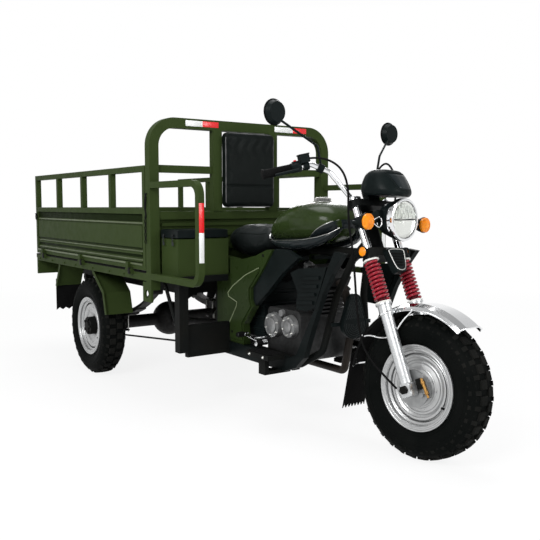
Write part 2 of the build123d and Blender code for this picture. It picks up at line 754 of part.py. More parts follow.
# Green body panels under the saddle, a raised field along the front of each
panel_outline = ((150, rail_top), (398, rail_top), (392, 419), (476, 516), (459, 544), (459, 599), (544, 685),
                 (631, 790), (589, 790), (501, 759), (358, 729), (212, 742), (150, 742))
field_outline = ((262, 340), (390, 340), (382, 424), (462, 516), (447, 544), (447, 600), (535, 690), (533, 703),
                 (419, 661), (305, 598), (263, 562), (269, 544), (345, 523), (339, 501), (262, 396))
panel_in = 168
panel_out = 205
field_depth = 7
cover_side = 26
stay_in = 15
with BuildPart() as body_panels:
    for side, sign in sides:
        with BuildSketch(across(0, sign * panel_in, 0)) as plate:
            with BuildLine():
                Polyline(*panel_outline, close=True)
            make_face()
        extrude(plate.sketch, amount=-sign * (panel_out - panel_in))
        with BuildSketch(across(0, sign * panel_out, 0)) as field:
            with BuildLine():
                Polyline(*field_outline, close=True)
            make_face()
        extrude(field.sketch, amount=-sign * field_depth)
body_panels.part.label = "body_panels"
export_step(body_panels.part, "parts/body_panels.step")

# Black side covers between the green panels and the engine
cover_outline = ((640, 796), (549, 690), (464, 601), (464, 545), (480, 520), (588, 598), (696, 690), (812, 764),
                 (725, 795))
with BuildPart() as side_covers:
    for side, sign in sides:
        with BuildSketch(across(0, sign * panel_in, 0)) as cover:
            with BuildLine():
                Polyline(*cover_outline, close=True)
            make_face()
        extrude(cover.sketch, amount=-sign * cover_side)
        stay = sorted((sign * stay_in, sign * (panel_in + 2)))
        block((640, stay[0], 740), (664, stay[1], 760))
side_covers.part.label = "side_covers"
export_step(side_covers.part, "parts/side_covers.step")

# Black leg guards: a band from the lower rail up to the head, with a louvred scoop inside its bend
guard_y = (rail_out, 225)
louvres = 4
louvre_size = (110, 14)
louvre_depth = 8
louvre_low = (895, 580)
louvre_step = (14, 36)
band_outline = ((1136, 800), (1065, 716), (1010, 627), (944, 485), (884, 338), (821, 282), (745, rail_bottom),
                (upright_x[0], rail_bottom), (upright_x[0], rail_top), (780, rail_top), (830, 345), (874, 420),
                (960, 568), (1040, 740), (1080, 806))
scoop_outline = ((786, 700), (845, 722), (1032, 742), (958, 566), (900, 543), (829, 545), (838, 620))
with BuildPart() as leg_guards:
    for side, sign in sides:
        with BuildSketch(across(0, sign * guard_y[0], 0)) as band:
            with BuildLine():
                Polyline(*band_outline, close=True)
            make_face()
            with BuildLine():
                Polyline(*scoop_outline, close=True)
            make_face()
        extrude(band.sketch, amount=-sign * (guard_y[1] - guard_y[0] - louvre_depth))
        for i in range(louvres):
            ridge = across(0, sign * (guard_y[1] - louvre_depth), 0)
            with BuildSketch(ridge) as slat:
                with Locations((louvre_low[0] + louvre_step[0] * i, louvre_low[1] + louvre_step[1] * i)):
                    Rectangle(*louvre_size, rotation=6)
            extrude(slat.sketch, amount=-sign * louvre_depth)
leg_guards.part.label = "leg_guards"
export_step(leg_guards.part, "parts/leg_guards.step")

# Teardrop grille in front of the engine, on the down tubes
with BuildPart() as front_grille:
    with BuildSketch(Plane(origin=(944, 0, 0), x_dir=(0, 1, 0), z_dir=(1, 0, 0))):
        with Locations((0, 480)):
            Circle(66)
        with Locations((0, 575)):
            Circle(34)
        make_hull()
    extrude(amount=22)
    block((937.3, -112, 472), (946, 112, 488))
front_grille.part.label = "front_grille"
export_step(front_grille.part, "parts/front_grille.step")

# Footrest plates on brackets under the lower rails
with BuildPart() as footrests:
    for side, sign in sides:
        out = sorted((sign * (guard_y[1] + 6), sign * 322))
        block((585, out[0], 316), (765, out[1], 338))
        reach = sorted((sign * rail_in, sign * 292))
        block((650, reach[0], rail_bottom - 18), (700, reach[1], rail_bottom))
        stand = sorted((sign * 270, sign * 292))
        block((650, stand[0], rail_bottom), (700, stand[1], 316))
footrests.part.label = "footrests"
export_step(footrests.part, "parts/footrests.step")

# Foot pedals: a rocking lever on each side of the engine
with BuildPart() as foot_pedals:
    for side, sign in sides:
        pivot = Plane(origin=(536, sign * rail_in, 372), x_dir=(1, 0, 0), z_dir=(0, sign, 0))
        sleeve(10, 0, 0, 92, pivot)
        rod(7, [(452, sign * 236, 384), (536, sign * 236, 372), (610, sign * 236, 366)], 30)
        for x, z in ((452, 384), (610, 366)):
            sleeve(11, 0, 70, 130, Plane(origin=(x, sign * rail_in, z), x_dir=(1, 0, 0), z_dir=(0, sign, 0)))
foot_pedals.part.label = "foot_pedals"
export_step(foot_pedals.part, "parts/foot_pedals.step")

# Tool boxes on both sides of the saddle, open tops under hinged lids
tool_x = (hoop_front, 278)
tool_y = (218, box_half - 60)
tool_z = (656, 833)
tool_wall = 5
lid_top = 876
lid_pin_y = tool_y[0] - 9
lid_pin_z = tool_z[1]
lid_pin = 4
lid_barrel = 8
lid_hinges = (150, 236)
latch_x = (146, 240)
latch_half = 9
latch_out = 7
latch_z = (tool_z[1] - 34, tool_z[1] - 2)
with BuildPart() as toolboxes:
    for side, sign in sides:
        outer = sorted((sign * tool_y[0], sign * tool_y[1]))
        with BuildSketch(Plane.XY.offset(tool_z[0])) as shell:
            with Locations(((tool_x[0] + tool_x[1]) / 2, sum(outer) / 2)):
                Rectangle(tool_x[1] - tool_x[0], outer[1] - outer[0])
        extrude(shell.sketch, amount=tool_z[1] - tool_z[0])
        with BuildSketch(Plane.XY.offset(tool_z[0] + tool_wall)) as hollow:
            with Locations(((tool_x[0] + tool_x[1]) / 2, sum(outer) / 2)):
                Rectangle(tool_x[1] - tool_x[0] - 2 * tool_wall, outer[1] - outer[0] - 2 * tool_wall)
        extrude(hollow.sketch, amount=tool_z[1] - tool_z[0], mode=Mode.SUBTRACT)
        for x in lid_hinges:
            pin = Plane(origin=(x, sign * lid_pin_y, lid_pin_z), x_dir=(0, 1, 0), z_dir=(1, 0, 0))
            sleeve(lid_barrel, 0, -14, 0, pin)
            sleeve(lid_pin, 0, 0, 15, pin)
            leaf = sorted((sign * (lid_pin_y - 2), sign * (tool_y[0] + 2)))
            block((x - 14, leaf[0], lid_pin_z - 20), (x, leaf[1], lid_pin_z - 6))
        latch = sorted((sign * (tool_y[1] - 1), sign * (tool_y[1] + latch_out)))
        for x in latch_x:
            block((x - latch_half, latch[0], latch_z[0]), (x + latch_half, latch[1], latch_z[1]))
toolboxes.part.label = "toolboxes"
export_step(toolboxes.part, "parts/toolboxes.step")


def tool_lid(sign):
    """One lid with its hinge barrels over the pins of its box."""
    cover = sorted((sign * (tool_y[0] + 7), sign * (tool_y[1] + 5)))
    block((tool_x[0] + moving_gap, cover[0], tool_z[1] + moving_gap), (tool_x[1] + 5, cover[1], lid_top))
    for x in lid_hinges:
        pin = Plane(origin=(x, sign * lid_pin_y, lid_pin_z), x_dir=(0, 1, 0), z_dir=(1, 0, 0))
        leaf = sorted((sign * (lid_pin_y - 4), sign * (tool_y[0] + 12)))
        block((x + 1, leaf[0], lid_pin_z + 5), (x + 15, leaf[1], lid_pin_z + 14))
        sleeve(lid_barrel, 0, 1, 15, pin)
        with BuildSketch(pin) as bore:
            Circle(lid_pin + pin_gap)
        extrude(bore.sketch, amount=20, mode=Mode.SUBTRACT)


with BuildPart() as lid_right:
    tool_lid(-1)
lid_right.part.label = "lid_right"
export_step(lid_right.part, "parts/lid_right.step")

with BuildPart() as lid_left:
    tool_lid(1)
lid_left.part.label = "lid_left"
export_step(lid_left.part, "parts/lid_left.step")

# Step posts under the tool boxes, tied to the frame by a cross plate and to the hoop's leg by a brace
post_x = (245, 293)
post_y = (box_half - 103, box_half - 55)
brace_radius = 9
brace_inset = 12
with BuildPart() as step_posts:
    for side, sign in sides:
        post = sorted((sign * post_y[0], sign * post_y[1]))
        block((post_x[0], post[0], 292), (post_x[1], post[1], tool_z[0]))
        tie = sorted((sign * guard_y[1] - sign * 8, sign * post_y[0]))
        block((post_x[0] + 10, tie[0], rail_bottom + 10), (post_x[1] - 10, tie[1], 420))
        rest = sorted((sign * (tool_y[0] + 10), sign * post_y[0]))
        block((hoop_front, rest[0], tool_z[0] - 30), (post_x[1], rest[1], tool_z[0]))
        brace_y = sign * (post_y[1] - brace_inset)
        brace = [(hoop_front, brace_y, tool_z[0] - 20), (post_x[0] + 6, brace_y, 400)]
        rod(brace_radius, brace, brace_radius)
step_posts.part.label = "step_posts"
export_step(step_posts.part, "parts/step_posts.step")

# Bed of the load box: floor sheet, side rails, cross members, rear beam, fixed hinge halves
rail_side = 40
sheet = 6
cross_bars = 5
beam_bottom = 531
beam_depth = 20
drop_hinges = (0.10, 0.50, 0.90)
side_x = (box_back + 4, hoop_back - moving_gap - 2)
hinge_half = 30
hinge_pin = 5
hinge_barrel = 9
leaf_half = 6
leaf_drop = 22
leaf_rise = 40
gate_hinges = (-0.77, 0, 0.77)
gate_half = box_half - wall - moving_gap - 1
gate_pin_x = box_back - drop_pin_out


def fixed_hinge(pin):
    """The half of a hinge that stays: a barrel, its pin, and a leaf back to the rail."""
    sleeve(hinge_barrel, 0, -hinge_half, 0, pin)
    sleeve(hinge_pin, 0, 0, hinge_half + 1, pin)
    block((-leaf_drop, -leaf_half, -hinge_half), (0, drop_pin_out + 2, 0), pin)


def side_pins(sign):
    """Hinge planes of one drop side: X of the plane up, Y towards the box, Z along the pin."""
    span = side_x[1] - side_x[0]
    pin_y = sign * (box_half + drop_pin_out)
    return [Plane(origin=(side_x[0] + f * span, pin_y, drop_pin_z), x_dir=(0, 0, 1), z_dir=(sign, 0, 0))
            for f in drop_hinges]


def gate_pins():
    """Hinge planes of the tailgate, in the same order of directions."""
    return [Plane(origin=(gate_pin_x, f * gate_half, drop_pin_z), x_dir=(0, 0, 1), z_dir=(0, 1, 0))
            for f in gate_hinges]


with BuildPart() as cargo_floor:
    bed_back = box_back + beam_depth
    block((bed_back, -box_half, bed_top - sheet), (hoop_back, box_half, bed_top))
    for side, sign in sides:
        edge = sorted((sign * (box_half - rail_side), sign * box_half))
        block((bed_back, edge[0], bed_bottom), (hoop_back, edge[1], bed_top))
    bar_pitch = (hoop_back - bed_back - rail_side) / cross_bars
    for i in range(cross_bars):
        x = bed_back + rail_side + i * bar_pitch
        block((x, -box_half + rail_side, bed_bottom), (x + rail_side, box_half - rail_side, bed_top - sheet))
    block((box_back, -box_half, beam_bottom), (bed_back, box_half, bed_top))
    for pin in side_pins(-1) + side_pins(1) + gate_pins():
        fixed_hinge(pin)
cargo_floor.part.label = "cargo_floor"
export_step(cargo_floor.part, "parts/cargo_floor.step")


def moving_hinge(pin):
    """The half of a hinge that swings: a barrel on the pin and a leaf up the panel."""
    block((0, -leaf_half, 1), (leaf_rise, drop_pin_out, hinge_half), pin)
    sleeve(hinge_barrel, 0, 1, hinge_half, pin)
    with BuildSketch(pin) as bore:
        Circle(hinge_pin + pin_gap)
    extrude(bore.sketch, amount=hinge_half + 2, mode=Mode.SUBTRACT)


# Drop sides: pressed sheet between tubes, with a fence of slip-in posts under a top rail
pressed = ((39, 50), (81, 92), (111, 225))
press_depth = 9
press_margin = 15
skin_out = 12
skin_in = 4
frame_tube = 28
foot_tube = 26
fence_posts = 5


def drop_side(sign):
    """One drop side with its fence and hinge halves."""
    y = sorted((sign * box_half, sign * (box_half - wall)))
    skin = sorted((sign * (box_half - skin_out), sign * (box_half - wall + skin_in)))
    low = panel_bottom + moving_gap
    block((side_x[0], skin[0], low), (side_x[1], skin[1], panel_top))
    block((side_x[0], y[0], panel_top - frame_tube), (side_x[1], y[1], panel_top))
    block((side_x[0], y[0], low), (side_x[1], y[1], low + foot_tube))
    for x in (side_x[0], side_x[1] - frame_tube):
        block((x, y[0], low), (x + frame_tube, y[1], panel_top))
    middle = (side_x[0] + side_x[1]) / 2
    for band_low, band_high in pressed:
        band_z = panel_bottom + (band_low + band_high) / 2
        with BuildSketch(across(middle, sign * (box_half - skin_out), band_z)) as band:
            Rectangle(side_x[1] - side_x[0] - 2 * (frame_tube + press_margin), band_high - band_low)
        extrude(band.sketch, amount=-sign * press_depth)
    gap = (side_x[1] - side_x[0] - fence_tube) / (fence_posts - 1)
    rail_low = fence_top - fence_tube
    for i in range(fence_posts):
        post_back = side_x[0] + i * gap
        block((post_back, y[0], panel_top + post_gap), (post_back + fence_tube, y[1], rail_low - post_gap))
    block((side_x[0], y[0], rail_low), (side_x[1], y[1], fence_top))
    for pin in side_pins(sign):
        moving_hinge(pin)


with BuildPart() as side_right:
    drop_side(-1)
side_right.part.label = "side_right"
export_step(side_right.part, "parts/side_right.step")

with BuildPart() as side_left:
    drop_side(1)
side_left.part.label = "side_left"
export_step(side_left.part, "parts/side_left.step")

# Tailgate between the drop sides
with BuildPart() as tailgate:
    gate_low = panel_bottom + moving_gap
    block((box_back + skin_out, -gate_half, gate_low), (box_back + wall - skin_in, gate_half, panel_top))
    for z_low, z_high in ((gate_low, gate_low + foot_tube), (panel_top - frame_tube, panel_top)):
        block((box_back, -gate_half, z_low), (box_back + wall, gate_half, z_high))
    for y in (-gate_half, gate_half - frame_tube):
        block((box_back, y, gate_low), (box_back + wall, y + frame_tube, panel_top))
    band_half = gate_half - frame_tube - press_margin
    for band_low, band_high in pressed:
        block((box_back + skin_out - press_depth, -band_half, panel_bottom + band_low),
              (box_back + skin_out, band_half, panel_bottom + band_high))
    for pin in gate_pins():
        moving_hinge(pin)
tailgate.part.label = "tailgate"
export_step(tailgate.part, "parts/tailgate.step")

# Tail lamps on the rear beam
tail_y = (box_half - 225, box_half - 85)
tail_z = (beam_bottom + 29, bed_bottom - 4)
tail_depth = 10
with BuildPart() as tail_lamps:
    for side, sign in sides:
        lamp = sorted((sign * tail_y[0], sign * tail_y[1]))
        block((box_back - tail_depth, lamp[0], tail_z[0]), (box_back, lamp[1], tail_z[1]))
tail_lamps.part.label = "tail_lamps"
export_step(tail_lamps.part, "parts/tail_lamps.step")

# Front hoop of the load box with its rails, backrest posts and tie-down eyes
hoop_low = 519
hoop_bend = 115
tie_eye_z = 557
tie_eye_radius = 20
tie_plate = 10
post_half = (147, 199)
mid_rail = (1152, 1189)
low_rail = (924, 964)
with BuildPart() as bulkhead_hoop:
    leg_y = box_half - hoop_tube / 2
    with BuildLine() as arch:
        x = hoop_back + hoop_tube / 2
        FilletPolyline((x, -leg_y, hoop_low + 60), (x, -leg_y, hoop_top - hoop_tube / 2),
                       (x, leg_y, hoop_top - hoop_tube / 2), (x, leg_y, hoop_low + 60), radius=hoop_bend)
    with BuildSketch(Plane(origin=arch.line @ 0, x_dir=(1, 0, 0), z_dir=arch.line % 0)):
        Rectangle(hoop_tube, hoop_tube)
    sweep()
    leg_in = box_half - hoop_tube
    block((hoop_back + 6, -leg_in, low_rail[0]), (hoop_front - 6, leg_in, low_rail[1]))
    for side, sign in sides:
        reach = sorted((sign * post_half[1], sign * leg_in))
        block((hoop_back + 12, reach[0], mid_rail[0]), (hoop_front - 12, reach[1], mid_rail[1]))
        post = sorted((sign * post_half[0], sign * post_half[1]))
        block((hoop_front - 38, post[0], low_rail[1]), (hoop_front, post[1], hoop_top - hoop_tube))
        eye = sorted((sign * box_half, sign * (box_half - tie_plate)))
        block((hoop_back - 42, eye[0], hoop_low), (hoop_front, eye[1], 616))
        with BuildSketch(across(hoop_back, sign * (box_half + tie_plate / 2), tie_eye_z)) as hole:
            Circle(tie_eye_radius)
        extrude(hole.sketch, amount=sign * 2 * tie_plate, mode=Mode.SUBTRACT)
bulkhead_hoop.part.label = "bulkhead_hoop"
export_step(bulkhead_hoop.part, "parts/bulkhead_hoop.step")

# Ribbed bulkhead sheet below the low rail
with BuildPart() as bulkhead_panel:
    block((hoop_back + 14, -leg_in, bed_top - 30), (hoop_back + 24, leg_in, low_rail[0]))
    for z in (700, 770, 840, 890):
        block((hoop_back + 24, -leg_in + 20, z), (hoop_back + 34, leg_in - 20, z + 16))
bulkhead_panel.part.label = "bulkhead_panel"
export_step(bulkhead_panel.part, "parts/bulkhead_panel.step")

# Backrest pad on the two posts
pad_half = 157
pad_z = (977, 1368)
with BuildPart() as backrest_pad:
    block((hoop_front + soft_gap, -pad_half, pad_z[0]), (hoop_front + 44, pad_half, pad_z[1]))
    fillet(backrest_pad.edges().filter_by(Axis.X), 26)
    fillet(backrest_pad.faces().sort_by(Axis.X)[-1].edges(), 14)
backrest_pad.part.label = "backrest_pad"
export_step(backrest_pad.part, "parts/backrest_pad.step")

# Guard hoops beside the tool boxes
guard_tube = 30
guard_x = 578
guard_z = (632, 1105)
guard_bend = 58
with BuildPart() as side_guards:
    for side, sign in sides:
        y = sign * (box_half - guard_tube / 2)
        front = guard_x - guard_tube / 2
        low = guard_z[0] + guard_tube / 2
        high = guard_z[1] - guard_tube / 2
        with BuildLine() as loop:
            FilletPolyline((hoop_front, y, high), (front, y, high), (front, y, low), (hoop_front, y, low),
                           radius=guard_bend)
        with BuildSketch(Plane(origin=loop.line @ 0, x_dir=(0, 1, 0), z_dir=loop.line % 0)) as tube:
            Rectangle(guard_tube, guard_tube)
        sweep(sections=tube.sketch, path=loop.line)
side_guards.part.label = "side_guards"
export_step(side_guards.part, "parts/side_guards.step")

# Ladder chassis under the bed
chassis_rail = 50
chassis_x = (box_back + beam_depth, hoop_front)
ladder_bars = (-717, -317, 323, 663)
with BuildPart() as ladder_chassis:
    for side, sign in sides:
        rail_y = (sign * chassis_y - chassis_rail / 2, sign * chassis_y + chassis_rail / 2)
        block((chassis_x[0], rail_y[0], chassis_bottom), (chassis_x[1], rail_y[1], bed_bottom))
    for x in (*[rear_axle_x + reach for reach in ladder_bars], hoop_front - chassis_rail):
        block((x, -chassis_y, chassis_bottom + 10), (x + chassis_rail, chassis_y, bed_bottom - 10))
ladder_chassis.part.label = "ladder_chassis"
export_step(ladder_chassis.part, "parts/ladder_chassis.step")

# Rear axle: tube, differential, brake drums and wheel spindles, on spring seats
axle_radius = 38
spring_seat = chassis_y + 5
drum_in = spring_seat + 40
drum_depth = 58
drum_radius = 112
diff_radius = 105
pinion_radius = 40
pinion_end = 130
seat_half_x = 44
seat_half_y = 32
with BuildPart() as rear_axle:
    beam = Plane(origin=(rear_axle_x, 0, axle_z), x_dir=(1, 0, 0), z_dir=(0, 1, 0))
    sleeve(axle_radius, 0, -drum_in, drum_in, beam)
    with BuildSketch(beam):
        with BuildLine():
            Line((0, -diff_radius), (0, diff_radius))
            ThreePointArc((0, -diff_radius), (diff_radius, 0), (0, diff_radius))
        make_face()
    revolve(axis=Axis(beam.origin, (0, 0, 1)))
    nose = Plane(origin=(rear_axle_x, 0, axle_z), x_dir=(0, 1, 0), z_dir=(1, 0, 0))
    sleeve(pinion_radius, 0, diff_radius - 25, pinion_end, nose)
    for side, sign in sides:
        drum = Plane(origin=(rear_axle_x, 0, axle_z), x_dir=(1, 0, 0), z_dir=(0, sign, 0))
        sleeve(drum_radius, 0, drum_in, drum_in + drum_depth, drum)
        sleeve(rear_pin, 0, drum_in + drum_depth, track / 2 + rear_hub_end - 6, drum)
        block((rear_axle_x - seat_half_x, sign * spring_seat - seat_half_y, axle_z + axle_radius - 12),
              (rear_axle_x + seat_half_x, sign * spring_seat + seat_half_y, axle_z + axle_radius + 10))
rear_axle.part.label = "rear_axle"
export_step(rear_axle.part, "parts/rear_axle.step")

# Leaf springs with eyes hung from the chassis
leaf = 9
leaf_width = 28
leaf_lap = 0.5
eye_tube = 18
leaf_base = axle_z + axle_radius + 10
leaf_reach = (500, 400, 300, 210)
leaf_sag = 165
with BuildPart() as leaf_springs:
    for side, sign in sides:
        y = sign * spring_seat
        for i, reach in enumerate(reversed(leaf_reach)):
            low = leaf_base + leaf * i
            rise = leaf_sag * (reach / leaf_reach[0]) ** 2
            with BuildSketch(across(rear_axle_x, y, low)) as blade:
                with BuildLine():
                    lower = ThreePointArc((-reach, rise), (0, 0), (reach, rise))
                    top = leaf + leaf_lap
                    upper = ThreePointArc((-reach, rise + top), (0, top), (reach, rise + top))
                    Line(lower @ 0, upper @ 0)
                    Line(lower @ 1, upper @ 1)
                make_face()
            extrude(blade.sketch, amount=leaf_width, both=True)
        for end in (-1, 1):
            eye_x = rear_axle_x + end * leaf_reach[0]
            eye_z = chassis_bottom - eye_tube
            sleeve(eye_tube, 0, -leaf_width, leaf_width, across(eye_x, y, eye_z))
            block((eye_x - eye_tube, y - leaf_width, eye_z),
                  (eye_x + eye_tube, y + leaf_width, chassis_bottom))
leaf_springs.part.label = "leaf_springs"
export_step(leaf_springs.part, "parts/leaf_springs.step")

# Propeller shaft from the gearbox to the differential, between two flanged joints
shaft_radius = 24
joint_radius = 38
joint_length = 46
gearbox_z = 400
with BuildPart() as propeller_shaft:
    gearbox = Plane(origin=(case_x[0], 0, gearbox_z), x_dir=(0, 1, 0), z_dir=(-1, 0, 0))
    pinion = Plane(origin=(rear_axle_x + pinion_end, 0, axle_z), x_dir=(0, 1, 0), z_dir=(1, 0, 0))
    shaft_ends = [face.offset(joint_length / 2).origin for face in (gearbox, pinion)]
    rod(shaft_radius, [(p.X, p.Y, p.Z) for p in shaft_ends], shaft_radius)
    for face in (gearbox, pinion):
        sleeve(joint_radius, 0, 0, joint_length, face)
propeller_shaft.part.label = "propeller_shaft"
export_step(propeller_shaft.part, "parts/propeller_shaft.step")

# Brake rods from the drums to the plates of the step posts
rod_radius = 5
rod_foot = (60, -60)
rod_boss = 9
with BuildPart() as brake_rods:
    for side, sign in sides:
        foot = Vector(rear_axle_x + rod_foot[0], sign * (drum_in - rod_boss), axle_z + rod_foot[1])
        lever = Plane(origin=foot, x_dir=(1, 0, 0), z_dir=(0, sign, 0))
        sleeve(rod_boss, 0, -rod_boss, rod_boss, lever)
        rod(rod_radius, [(foot.X, foot.Y, foot.Z), (post_x[0] + 9.4, foot.Y, rail_top)], rod_radius)
brake_rods.part.label = "brake_rods"
export_step(brake_rods.part, "parts/brake_rods.step")

# Green rear mudguards: bent sheets in front of and behind each rear wheel, lipped along the outer edge
mud_sheet = 4
mud_lip = 22
mud_y = (track / 2 - tyre_half - 23, box_half - 5)
mud_runs = (((118, 0), (118, -13), (260, -120), (293, -238)), ((-442, 0), (-442, -13), (-513, -144)))
with BuildPart() as rear_mudguards:
    for side, sign in sides:
        y = sorted((sign * mud_y[0], sign * mud_y[1]))
        lip = sorted((sign * (mud_y[1] - mud_sheet), sign * mud_y[1]))
        for bend in mud_runs:
            for width, (low_y, high_y) in ((mud_sheet, y), (mud_lip, lip)):
                with BuildSketch(across(rear_axle_x, high_y, bed_bottom)) as run:
                    with BuildLine():
                        Polyline(*bend)
                        offset(amount=width, side=Side.LEFT)
                    make_face()
                extrude(run.sketch, amount=high_y - low_y)
rear_mudguards.part.label = "rear_mudguards"
export_step(rear_mudguards.part, "parts/rear_mudguards.step")

# Rubber flaps behind the rear wheels, toothed below
rear_flap_z = (-303, -102)
with BuildPart() as rear_flaps:
    for side, sign in sides:
        y = sorted((sign * mud_y[0], sign * (mud_y[1] - mud_sheet - 1)))
        flap_x = rear_axle_x + mud_runs[1][-1][0]
        with BuildSketch(Plane(origin=(flap_x, 0, bed_bottom), x_dir=(0, 1, 0), z_dir=(1, 0, 0))) as flap:
            with BuildLine():
                step = (y[1] - y[0]) / 8
                teeth = [(y[0] + step * i, rear_flap_z[0] + tooth * (i % 2)) for i in range(9)]
                Polyline((y[1], rear_flap_z[1]), (y[0], rear_flap_z[1]), *teeth, close=True)
            make_face()
        extrude(flap.sketch, amount=-flap_sheet)
rear_flaps.part.label = "rear_flaps"
export_step(rear_flaps.part, "parts/rear_flaps.step")
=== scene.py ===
"""Looks of a cargo motor tricycle: paint, chrome, rubber, leathercloth and small fittings on its frame."""
import bpy
import math
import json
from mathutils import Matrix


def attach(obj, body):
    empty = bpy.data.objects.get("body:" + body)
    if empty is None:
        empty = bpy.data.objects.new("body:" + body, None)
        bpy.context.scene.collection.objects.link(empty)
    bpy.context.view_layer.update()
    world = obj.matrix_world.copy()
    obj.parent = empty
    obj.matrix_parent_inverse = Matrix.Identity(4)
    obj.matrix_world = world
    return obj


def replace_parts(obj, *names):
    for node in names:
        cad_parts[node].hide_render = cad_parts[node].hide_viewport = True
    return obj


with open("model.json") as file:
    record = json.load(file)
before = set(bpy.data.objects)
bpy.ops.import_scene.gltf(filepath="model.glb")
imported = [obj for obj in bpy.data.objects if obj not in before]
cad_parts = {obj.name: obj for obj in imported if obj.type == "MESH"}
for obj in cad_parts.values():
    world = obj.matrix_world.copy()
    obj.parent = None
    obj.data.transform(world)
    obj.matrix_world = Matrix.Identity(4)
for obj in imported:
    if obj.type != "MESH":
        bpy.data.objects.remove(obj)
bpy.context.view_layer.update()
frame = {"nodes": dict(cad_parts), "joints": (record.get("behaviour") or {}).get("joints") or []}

nodes = frame["nodes"]


def shader(name, colour, rough, metal=0.0):
    """A new material with these constant values on its shader, and its node tree."""
    finish = bpy.data.materials.new(name)
    finish.use_nodes = True
    face = finish.node_tree.nodes["Principled BSDF"]
    face.inputs["Base Color"].default_value = (*colour, 1)
    face.inputs["Roughness"].default_value = rough
    face.inputs["Metallic"].default_value = metal
    return finish, finish.node_tree, face


def add(tree, kind, inputs):
    """A new shader node, each named input given a value or linked from another node."""
    item = tree.nodes.new("ShaderNode" + kind)
    for name, value in inputs.items():
        if isinstance(value, bpy.types.NodeSocket):
            tree.links.new(value, item.inputs[name])
        else:
            item.inputs[name].default_value = value
    return item


def grain(tree, size, detail=3.0):
    """Noise in object space, with features about one over size metres across."""
    place = add(tree, "TexCoord", {}).outputs["Object"]
    return add(tree, "TexNoise", {"Scale": size, "Detail": detail, "Vector": place}).outputs["Fac"]


def span(tree, value, low, high):
    """The middle of a noise value's range spread between two numbers."""
    ends = {"From Min": 0.3, "From Max": 0.7, "To Min": low, "To Max": high}
    return add(tree, "MapRange", {**ends, "Value": value}).outputs["Result"]


def tint(tree, face, value, first, second):
    """Base colour that drifts between two colours with a value."""
    mix = tree.nodes.new("ShaderNodeMix")
    mix.data_type = "RGBA"
    mix.inputs["A"].default_value = (*first, 1)
    mix.inputs["B"].default_value = (*second, 1)
    tree.links.new(value, mix.inputs["Factor"])
    tree.links.new(mix.outputs["Result"], face.inputs["Base Color"])


def cloud(tree, face, size, first, second, detail=3.0):
    """Base colour that drifts in clouds between two colours."""
    tint(tree, face, span(tree, grain(tree, size, detail), 0.0, 1.0), first, second)


def haze(tree, face, size, low, high):
    """Roughness that drifts between two values."""
    tree.links.new(span(tree, grain(tree, size), low, high), face.inputs["Roughness"])


def relief(tree, face, value, depth):
    """Bump of a depth in metres from a value."""
    bump = add(tree, "Bump", {"Distance": depth, "Strength": 1.0, "Height": value})
    tree.links.new(bump.outputs["Normal"], face.inputs["Normal"])


def enamel(name, colour, worn, rough, shine, coat=0.0):
    """Sprayed enamel over steel: a faint cloud in the colour, uneven gloss, orange peel."""
    finish, tree, face = shader(name, colour, rough)
    face.inputs["Specular IOR Level"].default_value = shine
    face.inputs["Coat Weight"].default_value = coat
    face.inputs["Coat Roughness"].default_value = 0.1
    cloud(tree, face, 6.0, colour, worn, 5.0)
    haze(tree, face, 24.0, rough - 0.06, rough + 0.08)
    relief(tree, face, grain(tree, 420.0, 1.0), 0.00004)
    return finish


def dress(finish, *names):
    """Gives CAD nodes a finish."""
    for name in names:
        nodes[name].data.materials.clear()
        nodes[name].data.materials.append(finish)


frame_black = enamel("frame_black", (0.005, 0.006, 0.006), (0.008, 0.008, 0.007), 0.45, 0.03)
dress(frame_black, "main_frame", "ladder_chassis", "step_posts", "footrests")

# Ribbed rubber treads on the footrest plates: strips moulded in one mat, glued on.
# Each plate is about 90 mm wide, just outside the leg guard, and two pale bolts hold it.
from mathutils import Matrix, Vector
import bmesh


def smooth(mesh, angle):
    """Smooth shading that keeps edges sharper than an angle in degrees."""
    mesh.shade_smooth()
    mesh.set_sharp_from_angle(angle=math.radians(angle))


def piece(name, shape, finish, body, angle=35):
    """A mesh piece in the machine's own frame, riding on a body."""
    mesh = bpy.data.meshes.new(name)
    mesh.from_pydata([tuple(v) for v in shape[0]], [], [tuple(f) for f in shape[1]])
    mesh.materials.append(finish)
    smooth(mesh, angle)
    item = bpy.data.objects.new(name, mesh)
    bpy.context.scene.collection.objects.link(item)
    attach(item, body)
    return item


def gather(shapes):
    """Several shapes as one set of points and faces."""
    points = []
    faces = []
    for some_points, some_faces in shapes:
        base = len(points)
        points += some_points
        faces += [tuple(base + i for i in face) for face in some_faces]
    return points, faces


def pillow(low, high, edge, place=Matrix()):
    """A block between two corners with every edge rounded off in two steps."""
    block = bmesh.new()
    bmesh.ops.create_cube(block, size=1)
    size = Vector(high) - Vector(low)
    middle = (Vector(high) + Vector(low)) / 2
    for point in block.verts:
        point.co = Vector([a * b for a, b in zip(point.co, size)]) + middle
    bmesh.ops.bevel(block, geom=block.edges[:], offset=edge, segments=2, affect="EDGES", profile=0.5)
    block.verts.index_update()
    shape = [place @ p.co for p in block.verts], [[p.index for p in f.verts] for f in block.faces]
    block.free()
    return shape


def facing(origin, axis, hint=(0, 0, 1)):
    """A placing matrix at a point, its Z along an axis and its Y near a hint."""
    z = Vector(axis).normalized()
    x = Vector(hint).cross(z).normalized()
    place = Matrix((x, z.cross(x), z)).transposed().to_4x4()
    place.translation = Vector(origin)
    return place


